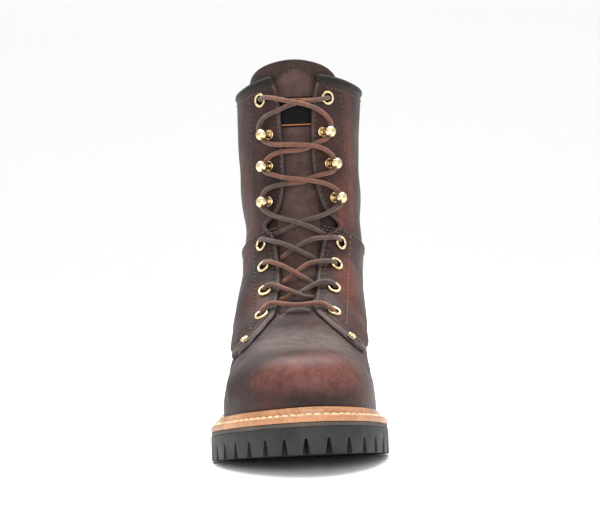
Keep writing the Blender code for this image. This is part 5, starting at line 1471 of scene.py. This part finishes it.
def make_seams():
    """All the sewn rows of the upper, then the pale ones of the welt."""
    outer = np.array(rounded(front(THROAT_OUTER), 3))
    inner = np.array(rounded(front(THROAT_INNER), 3))
    marks = []
    # Beside the throat's edges and down the front edges of the quarters.
    for line, sign in ((outer, -1), (inner, 1)):
        on_quarter = line[line[:, 1] < 0.556 * COLLAR_HEIGHT]
        on_shaft = line[(line[:, 1] > 0.600 * COLLAR_HEIGHT) & (line[:, 1] < 0.950 * COLLAR_HEIGHT)]
        for offset in (FOLD + 0.5, FOLD + 2.9):
            row = seam_front(moved_line(on_quarter, offset * sign), OVERLAY, FACING_PITCH)
            marks += kept(row, quarter_reach(sign))
        marks += kept(seam_front(moved_line(on_shaft, (FOLD + 0.4) * sign), 0.0), outside_throat)
        edge = [from_front(x, z, 0.5) for x, z in dense(moved_line(on_quarter, 0.3 * sign), 1.2)]
        path = np.array([hit[0] for hit in edge if hit is not None])
        path = smoothed(path[quarter_reach(sign)(path) > -1.0], 3)
        mesh = strand("quarter_edge", [path], [[1.15] * len(path)], 10)
        name = "quarter_edge_" + ("lateral" if sign < 0 else "medial")
        piece(name, mesh, "panel_leather", look="dark_leather")
    # The upright rows behind the eyelets and hooks; the low one on the inner side is sewn in rust.
    rust = []
    for side_rows, sign in zip(SHAFT_ROWS, (-1, 1)):
        points = [(x * BALL_WIDTH, z * COLLAR_HEIGHT) for x, z in side_rows]
        low = [p for p in points if p[1] < 0.58 * COLLAR_HEIGHT]
        high = [p for p in points if p[1] > 0.56 * COLLAR_HEIGHT]
        row = kept(seam_front(low, OVERLAY, FACING_PITCH), quarter_reach(sign))
        if sign > 0:
            rust += row
        else:
            marks += row
        marks += kept(seam_front(high, 0.0, SHAFT_PITCH), lambda places: -quarter_reach(sign)(places))
    stitches("quarter_row_stitches", rust, 2.3, THREAD, "rust_thread", "panel_leather")
    # Three rows along the lower edge of each quarter, two along its upper edge, two round the counter.
    lower = np.array(rounded(side(QUARTER_SIDE[1:8]), 4))
    upper = np.array(rounded(side(QUARTER_SIDE[8:15]), 4))
    counter = np.array(rounded(side(COUNTER_SIDE[2:8]), 4))
    for half in (-1, 1):
        for offset in (2.0, 4.4, 6.8):
            line = moved_line(lower, -offset)
            line = line[(line[:, 0] > 4) & (line[:, 0] < 212)]
            marks += kept(seam_side(line, half, OVERLAY), quarter_reach(half))
        for offset in (2.0, 4.4):
            line = moved_line(upper, -offset)
            line = line[(line[:, 0] > 4)]
            marks += seam_side(line, half, OVERLAY)
            line = moved_line(counter, offset)
            line = line[(line[:, 0] > 4)]
            marks += seam_side(line, half, OVERLAY)
        collar = np.array(COLLAR_LINE) - (0, 8.6)
        collar = collar[(collar[:, 0] > 12) & (collar[:, 0] < 122)]
        marks += seam_side(collar, half, 0.0)
    stitches("upper_stitches", marks, 2.5, THREAD, "thread", "panel_leather")
    # Dark discs at the stitch ends, painted shade in the needle holes.
    needle_holes("upper_needle_holes", marks, 3.1, 0.62, "panel_leather")
    points, inward = loop_round()
    places = []
    ways = []
    for p, way, face in zip(points, inward, bead_line(points, inward)):
        q = p + way * max(0.55 * (face - 3.6), 1.1)
        places.append((q[0], q[1], float(welt_top(p[0])[0]) + 0.3))
        ways.append((-0.45 * way[0], -0.45 * way[1], 0.89))
    places.append(places[0])
    ways.append(ways[0])
    marks = marks_along(places, ways, WELT_PITCH)
    stitches("welt_stitches", marks, WELT_STITCH, WELT_THREAD, "cream_thread", "tan_welt")
    arcs = []
    panel = np.array(rounded(front(TONGUE_PANEL), 4, closed=True))
    panel = panel[panel[:, 1] > 0.60 * COLLAR_HEIGHT]
    arcs += seam_front(panel, TONGUE_DEPTH - 0.6, 3.0)
    arcs += seam_front(front(TONGUE_ARC), TONGUE_DEPTH + 0.5, 3.0)
    stitches("tongue_stitches", arcs, 2.4, 0.35, "thread", "tongue_leather")


MADE = {}


class Look:
    """Builds one procedural material."""

    def __init__(self, name):
        self.material = bpy.data.materials.new(name)
        self.material.use_nodes = True
        self.tree = self.material.node_tree
        self.shader = self.tree.nodes["Principled BSDF"]
        self.space = self.tree.nodes.new("ShaderNodeTexCoord").outputs["Object"]
        MADE[name] = self.material

    def set(self, **values):
        for name, value in values.items():
            socket = self.shader.inputs[name.replace("_", " ")]
            socket.default_value = (*value, 1) if isinstance(value, tuple) else value

    def link(self, out, name):
        self.tree.links.new(out, self.shader.inputs[name])

    def noise(self, scale, detail=3.0, rough=0.55, stretch=None, warp=0.0):
        node = self.tree.nodes.new("ShaderNodeTexNoise")
        node.inputs["Scale"].default_value = scale
        node.inputs["Detail"].default_value = detail
        node.inputs["Roughness"].default_value = rough
        node.inputs["Distortion"].default_value = warp
        self.tree.links.new(self.mapped(stretch), node.inputs["Vector"])
        return node.outputs["Fac"]

    def mapped(self, stretch):
        if stretch is None:
            return self.space
        node = self.tree.nodes.new("ShaderNodeMapping")
        node.inputs["Scale"].default_value = stretch
        self.tree.links.new(self.space, node.inputs["Vector"])
        return node.outputs["Vector"]

    def cells(self, scale, feature="F1", out="Distance"):
        node = self.tree.nodes.new("ShaderNodeTexVoronoi")
        node.feature = feature
        node.inputs["Scale"].default_value = scale
        self.tree.links.new(self.space, node.inputs["Vector"])
        return node.outputs[out]

    def ramp(self, value, *stops):
        node = self.tree.nodes.new("ShaderNodeValToRGB")
        line = node.color_ramp
        while len(line.elements) < len(stops):
            line.elements.new(0.5)
        for element, (place, colour) in zip(line.elements, stops):
            element.position = place
            element.color = (*colour, 1) if isinstance(colour, tuple) else (colour, colour, colour, 1)
        self.tree.links.new(value, node.inputs["Fac"])
        return node.outputs["Color"]

    def mix(self, share, a, b, blend="MIX"):
        node = self.tree.nodes.new("ShaderNodeMix")
        node.data_type = "RGBA"
        node.blend_type = blend
        for socket, value in ((node.inputs["Factor"], share), (node.inputs["A"], a), (node.inputs["B"], b)):
            if isinstance(value, (int, float)):
                socket.default_value = value
            elif isinstance(value, tuple):
                socket.default_value = (*value, 1)
            else:
                self.tree.links.new(value, socket)
        return node.outputs["Result"]

    def math(self, kind, a, b=0.5):
        node = self.tree.nodes.new("ShaderNodeMath")
        node.operation = kind
        for socket, value in zip(node.inputs, (a, b)):
            if isinstance(value, (int, float)):
                socket.default_value = value
            else:
                self.tree.links.new(value, socket)
        return node.outputs[0]

    def bump(self, *layers):
        """Each layer: height, depth in mm."""
        last = None
        for height, depth in layers:
            node = self.tree.nodes.new("ShaderNodeBump")
            node.inputs["Distance"].default_value = depth / 1000
            node.inputs["Strength"].default_value = 1.0
            self.tree.links.new(height, node.inputs["Height"])
            if last is not None:
                self.tree.links.new(last, node.inputs["Normal"])
            last = node.outputs["Normal"]
        self.link(last, "Normal")

    def spot(self, centre, spread, edge=0.5, warp=0.25):
        """1 near a place of f, x, z in mm and 0 away from it, with an uneven edge."""
        place = self.tree.nodes.new("ShaderNodeMapping")
        place.vector_type = "TEXTURE"
        place.inputs["Location"].default_value = at(*centre)
        place.inputs["Scale"].default_value = (spread[1] / 1000, spread[0] / 1000, spread[2] / 1000)
        self.tree.links.new(self.space, place.inputs["Vector"])
        length = self.tree.nodes.new("ShaderNodeVectorMath")
        length.operation = "LENGTH"
        self.tree.links.new(place.outputs["Vector"], length.inputs[0])
        wobble = self.math("MULTIPLY", self.noise(30, 3), warp * 2)
        far = self.math("ADD", length.outputs["Value"], self.math("SUBTRACT", wobble, warp))
        return self.ramp(far, (1 - edge, 1.0), (1.0, 0.0))

    def stored(self, name):
        node = self.tree.nodes.new("ShaderNodeAttribute")
        node.attribute_name = name
        return node.outputs["Fac"]


def leather(name, dark, middle, warm, rough, rim_colour, coat, sheen, patches_and_highlights=(), zone_tint=None):
    """Oiled pull-up leather: patches of colour, darker rims, fine grain and an uneven gloss, with local tints
    that are rubbed reddish patches and, where a table gives them, painted highlights.
    """
    look = Look(name)
    patches = look.ramp(look.noise(16, 3, 0.55, warp=0.6), (0.36, dark), (0.52, middle), (0.70, warm))
    mottle = look.ramp(look.noise(150, 4, 0.65), (0.30, 0.62), (0.70, 1.25))
    colour = look.mix(1.0, patches, mottle, "MULTIPLY")
    specks = look.ramp(look.noise(900, 2, 0.6), (0.35, 0.80), (0.65, 1.12))
    colour = look.mix(1.0, colour, specks, "MULTIPLY")
    layers = []
    if zone_tint:
        place = look.math("ADD", look.math("MULTIPLY", look.stored("zone"), 0.5), 0.5)
        strip = look.ramp(place, (0.35, 0.0), (0.65, 1.0))
        uneven = look.mix(1.0, mottle, specks, "MULTIPLY")
        colour = look.mix(strip, colour, look.mix(1.0, uneven, zone_tint, "MULTIPLY"))
        layers.append((strip, 0.45))
    edge = look.ramp(look.math("DIVIDE", look.stored("rim"), 6.0), (0.0, 1.0), (0.10, 0.75), (0.40, 0.0))
    colour = look.mix(edge, colour, rim_colour)
    # Local tints: rubbed reddish patches, and painted highlights on the toe's crest and the vamp's top.
    for centre, spread, tint, share in patches_and_highlights:
        patch_and_highlight_colour = look.mix(1.0, look.mix(1.0, mottle, specks, "MULTIPLY"), tint, "MULTIPLY")
        colour = look.mix(look.math("MULTIPLY", look.spot(centre, spread), share), colour, patch_and_highlight_colour)
    look.link(colour, "Base Color")
    gloss = look.ramp(look.noise(45, 4, 0.6), (0.3, rough - 0.07), (0.7, rough + 0.11))
    look.link(gloss, "Roughness")
    grain = look.math("MULTIPLY", look.cells(1100), 1.0)
    look.bump(*layers, (look.noise(60, 3, 0.5), 0.35), (look.noise(420, 3, 0.6), 0.07), (grain, 0.035))
    look.set(Coat_Weight=coat, Coat_Roughness=0.40, Specular_IOR_Level=0.17)
    look.set(Sheen_Weight=sheen, Sheen_Roughness=0.45, Sheen_Tint=(0.62, 0.50, 0.52))
    return look


# Places of f, x, z with their reach in mm, the colour there and how far it shows.
VAMP_PATCHES_AND_HIGHLIGHTS = [
    # Painted highlight on the toe's crest, over the leather's reddish burnish there.
    ((290, 0, 62), (24, 50, 16), (0.155, 0.056, 0.044), 0.85),
    # Painted grey sheen on the top of the vamp.
    ((238, -4, 78), (38, 42, 14), (0.110, 0.080, 0.076), 0.80),
    # Reddish rubbed patches on the shaft.
    ((120, 40, 205), (26, 12, 62), (0.150, 0.040, 0.028), 0.80),
    ((118, 32, 165), (26, 14, 26), (0.130, 0.036, 0.025), 0.65),
    ((110, -42, 175), (26, 9, 40), (0.090, 0.030, 0.023), 0.5),
]
QUARTER_SPOTS = [
    ((150, 30, 115), (40, 14, 24), (0.140, 0.040, 0.028), 0.7),
    ((160, -36, 100), (34, 10, 20), (0.100, 0.032, 0.024), 0.5),
]


# Name, scale and detail of the colour's noise, its two stops, noise and depth of the bump, roughness.
PLAIN_LOOKS = [
    ("thread", (700, 2), ((0.35, (0.030, 0.014, 0.010)),
     (0.65, (0.085, 0.040, 0.026))), ((2200, 2), 0.05), 0.62),
    # Near-black discs that paint the shade inside the needle holes.
    ("needle_hole_shade", (800, 2), ((0.3, (0.004, 0.003, 0.003)),
     (0.7, (0.010, 0.007, 0.006))), None, 0.8),
    ("cream_thread", (500, 3), ((0.30, (0.46, 0.30, 0.16)),
     (0.60, (0.82, 0.62, 0.38))), ((1500, 2), 0.12), 0.78),
    ("border_thread", (900, 2), ((0.3, (0.42, 0.13, 0.03)),
     (0.7, (0.68, 0.27, 0.07))), ((2400, 2), 0.08), 0.6),
    ("rust_thread", (900, 2), ((0.3, (0.16, 0.055, 0.030)),
     (0.7, (0.32, 0.120, 0.062))), ((2400, 2), 0.08), 0.6),
    ("grey_layer", (60, 4), ((0.3, (0.040, 0.031, 0.025)),
     (0.7, (0.085, 0.066, 0.052))), ((500, 3), 0.10), 0.72),
    ("board", (50, 4), ((0.3, (0.22, 0.15, 0.09)),
     (0.7, (0.34, 0.25, 0.16))), ((800, 3), 0.08), 0.82),
]


def make_materials():
    leather("oiled_leather", (0.021, 0.0110, 0.0100), (0.037, 0.0175, 0.0150), (0.060, 0.0215, 0.0165), 0.50,
            (0.016, 0.010, 0.009), 0.04, 0.0, VAMP_PATCHES_AND_HIGHLIGHTS, (0.105, 0.070, 0.062))
    leather("panel_leather", (0.021, 0.0108, 0.0096), (0.036, 0.0165, 0.0140), (0.062, 0.0205, 0.0155), 0.50,
            (0.016, 0.010, 0.009), 0.04, 0.0, QUARTER_SPOTS, (0.125, 0.082, 0.074))
    leather("dark_leather", (0.007, 0.0058, 0.0045), (0.011, 0.0088, 0.0066), (0.016, 0.0120, 0.0085), 0.50,
            (0.010, 0.008, 0.006), 0.04, 0.0)
    leather("tongue_leather", (0.024, 0.0140, 0.0120), (0.038, 0.0205, 0.0175), (0.052, 0.0250, 0.0200), 0.56,
            (0.012, 0.008, 0.007), 0.03, 0.05, (), (0.074, 0.040, 0.036))

    for name, colour, stops, bump, rough in PLAIN_LOOKS:
        look = Look(name)
        look.link(look.ramp(look.noise(*colour), *stops), "Base Color")
        if bump:
            look.bump((look.noise(*bump[0]), bump[1]))
        look.set(Roughness=rough)
        if name in ("thread", "cream_thread"):
            look.set(Sheen_Weight=0.2)

    look = Look("plain_patch")
    weave = look.cells(1300)
    look.link(look.ramp(weave, (0.1, (0.007, 0.006, 0.007)), (0.5, (0.003, 0.003, 0.003))), "Base Color")
    look.bump((weave, 0.12))
    look.set(Roughness=0.80, Specular_IOR_Level=0.15)

    look = Look("tan_welt")
    tone = look.ramp(look.noise(38, 4, 0.6), (0.30, (0.25, 0.098, 0.034)), (0.55, (0.42, 0.185, 0.076)),
                     (0.75, (0.54, 0.275, 0.125)))
    fine = look.ramp(look.noise(420, 3), (0.35, 0.80), (0.65, 1.10))
    look.link(look.mix(1.0, tone, fine, "MULTIPLY"), "Base Color")
    look.link(look.ramp(look.noise(80, 3), (0.3, 0.34), (0.7, 0.52)), "Roughness")
    look.bump((look.noise(130, 3), 0.12), (look.noise(900, 2), 0.03))
    look.set(Coat_Weight=0.2, Coat_Roughness=0.3)

    look = Look("black_rubber")
    tone = look.ramp(look.noise(34, 5, 0.65), (0.35, (0.007, 0.007, 0.007)), (0.60, (0.014, 0.014, 0.014)),
                     (0.80, (0.032, 0.031, 0.030)))
    look.link(tone, "Base Color")
    look.link(look.ramp(look.noise(70, 4), (0.3, 0.46), (0.7, 0.68)), "Roughness")
    look.bump((look.noise(650, 3), 0.06), (look.noise(70, 3), 0.15))
    look.set(Specular_IOR_Level=0.4)

    look = Look("brass")
    tone = look.ramp(look.noise(120, 3), (0.35, (0.62, 0.47, 0.25)), (0.65, (0.86, 0.71, 0.45)))
    look.link(tone, "Base Color")
    look.link(look.ramp(look.noise(260, 3), (0.3, 0.16), (0.7, 0.34)), "Roughness")
    look.bump((look.noise(300, 2), 0.02))
    look.set(Metallic=1.0)

    look = Look("lace_cord")
    lay = look.tree.nodes.new("ShaderNodeUVMap")
    lay.uv_map = "lay"
    waves = []
    for turn in (0.9, -0.9):
        slant = look.tree.nodes.new("ShaderNodeMapping")
        slant.inputs["Rotation"].default_value = (0, 0, turn)
        slant.inputs["Scale"].default_value = (1.0, 4.0, 1.0)
        look.tree.links.new(lay.outputs["UV"], slant.inputs["Vector"])
        wave = look.tree.nodes.new("ShaderNodeTexWave")
        wave.inputs["Scale"].default_value = 1.1
        look.tree.links.new(slant.outputs["Vector"], wave.inputs["Vector"])
        waves.append(wave.outputs["Fac"])
    plait = look.math("MAXIMUM", waves[0], waves[1])
    # The colour follows the plait: darker in its grooves and lighter on its crests, painted shade and painted
    # highlights over the cord's red and grey tones.
    red = look.ramp(plait, (0.35, (0.026, 0.009, 0.006)), (0.70, (0.100, 0.030, 0.016)),
                    (0.95, (0.280, 0.092, 0.045)))
    grey = look.ramp(plait, (0.35, (0.010, 0.006, 0.005)), (0.70, (0.040, 0.022, 0.016)),
                     (0.95, (0.120, 0.062, 0.043)))
    twist = look.ramp(look.noise(26, 2, 0.4), (0.45, 0.0), (0.55, 1.0))
    tone = look.mix(twist, red, grey)
    shade = look.ramp(look.noise(300, 3), (0.3, 0.7), (0.7, 1.2))
    look.link(look.mix(1.0, tone, shade, "MULTIPLY"), "Base Color")
    look.bump((plait, 0.30), (look.noise(1800, 2), 0.06))
    look.set(Roughness=0.62, Sheen_Weight=0.2)

    look = Look("floor_paint")
    look.set(Base_Color=(0.90, 0.90, 0.90), Roughness=0.9)


def make_patch_border():
    """Plain orange thread along the patch's top and bottom."""
    marks = []
    x0, z0 = LABEL_FRONT[0]
    x1, z1 = LABEL_FRONT[2]
    inset_x = 1.2 / BALL_WIDTH
    inset_z = 1.5 / COLLAR_HEIGHT
    for z in (z0 + inset_z, z1 - inset_z):
        line = front([(x0 + inset_x, z), ((x0 + x1) / 2, z), (x1 - inset_x, z)])
        marks += seam_front(line, TONGUE_DEPTH + GAP + 0.9, 1.1)
    stitches("patch_border", marks, 1.15, 0.4, "border_thread", "plain_patch")


def make_floor():
    """A pale floor that curves up far behind the boot."""
    profile = [(-4.0, 0.0), (2.2, 0.0)]
    profile += [(2.2 + math.sin(a), 1 - math.cos(a)) for a in np.linspace(0.1, math.pi / 2, 14)]
    profile.append((3.2, 4.0))
    points = []
    for y, z in profile:
        points += [(-6.0, y, z - 0.0002), (6.0, y, z - 0.0002)]
    faces = [(2 * k, 2 * k + 1, 2 * k + 3, 2 * k + 2) for k in range(len(profile) - 1)]
    mesh = bpy.data.meshes.new("floor")
    mesh.from_pydata(points, [], faces)
    mesh.shade_smooth()
    mesh.materials.append(MADE["floor_paint"])
    floor = bpy.data.objects.new("floor", mesh)
    bpy.context.scene.collection.objects.link(floor)


def light(name, place, aim, size, power):
    lamp = bpy.data.lights.new(name, "AREA")
    lamp.shape = "RECTANGLE"
    lamp.size, lamp.size_y = size
    lamp.energy = power
    item = bpy.data.objects.new(name, lamp)
    direction = Vector(aim) - Vector(place)
    item.matrix_world = Matrix.Translation(place) @ direction.to_track_quat("-Z", "Y").to_matrix().to_4x4()
    bpy.context.scene.collection.objects.link(item)


def make_lights():
    world = bpy.data.worlds.new("studio")
    world.use_nodes = True
    world.node_tree.nodes["Background"].inputs["Color"].default_value = (1, 1, 1, 1)
    world.node_tree.nodes["Background"].inputs["Strength"].default_value = 0.98
    bpy.context.scene.world = world
    bpy.context.scene.view_settings.view_transform = "Standard"
    light("top", (0, 0.25, 1.4), (0, -0.18, 0.08), (1.5, 1.1), 38)
    light("front", (0, -2.3, 0.9), (0, -0.05, 0.15), (1.2, 0.7), 18)


SENSOR = 36
FOCAL_WIDTHS = 2184 / 600  # focal length in widths of the picture
CAMERA_PLACE = (-0.0045, -1.633, 0.2)
CAMERA_DOWN = 2.8  # degrees below level
CAMERA_ROLL = 2.5


def make_camera():
    lens = bpy.data.cameras.new("camera")
    lens.sensor_width = SENSOR
    lens.lens = FOCAL_WIDTHS * SENSOR
    camera = bpy.data.objects.new("camera", lens)
    camera.matrix_world = (
        Matrix.Translation(CAMERA_PLACE)
        @ Matrix.Rotation(math.radians(90 - CAMERA_DOWN), 4, "X")
        @ Matrix.Rotation(math.radians(-CAMERA_ROLL), 4, "Z")
    )
    bpy.context.scene.collection.objects.link(camera)
    bpy.context.scene.camera = camera


make_materials()
make_camera()
make_lights()
make_floor()
make_upper()
make_panels()
make_tongue()
make_fastenings()
make_laces()
make_welt()
make_midsole()
make_outsole()
make_heel()
make_seams()
make_patch_border()
insole = bpy.data.objects.get("insole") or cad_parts["insole"]
for slot in insole.material_slots:
    slot.material = MADE["board"]
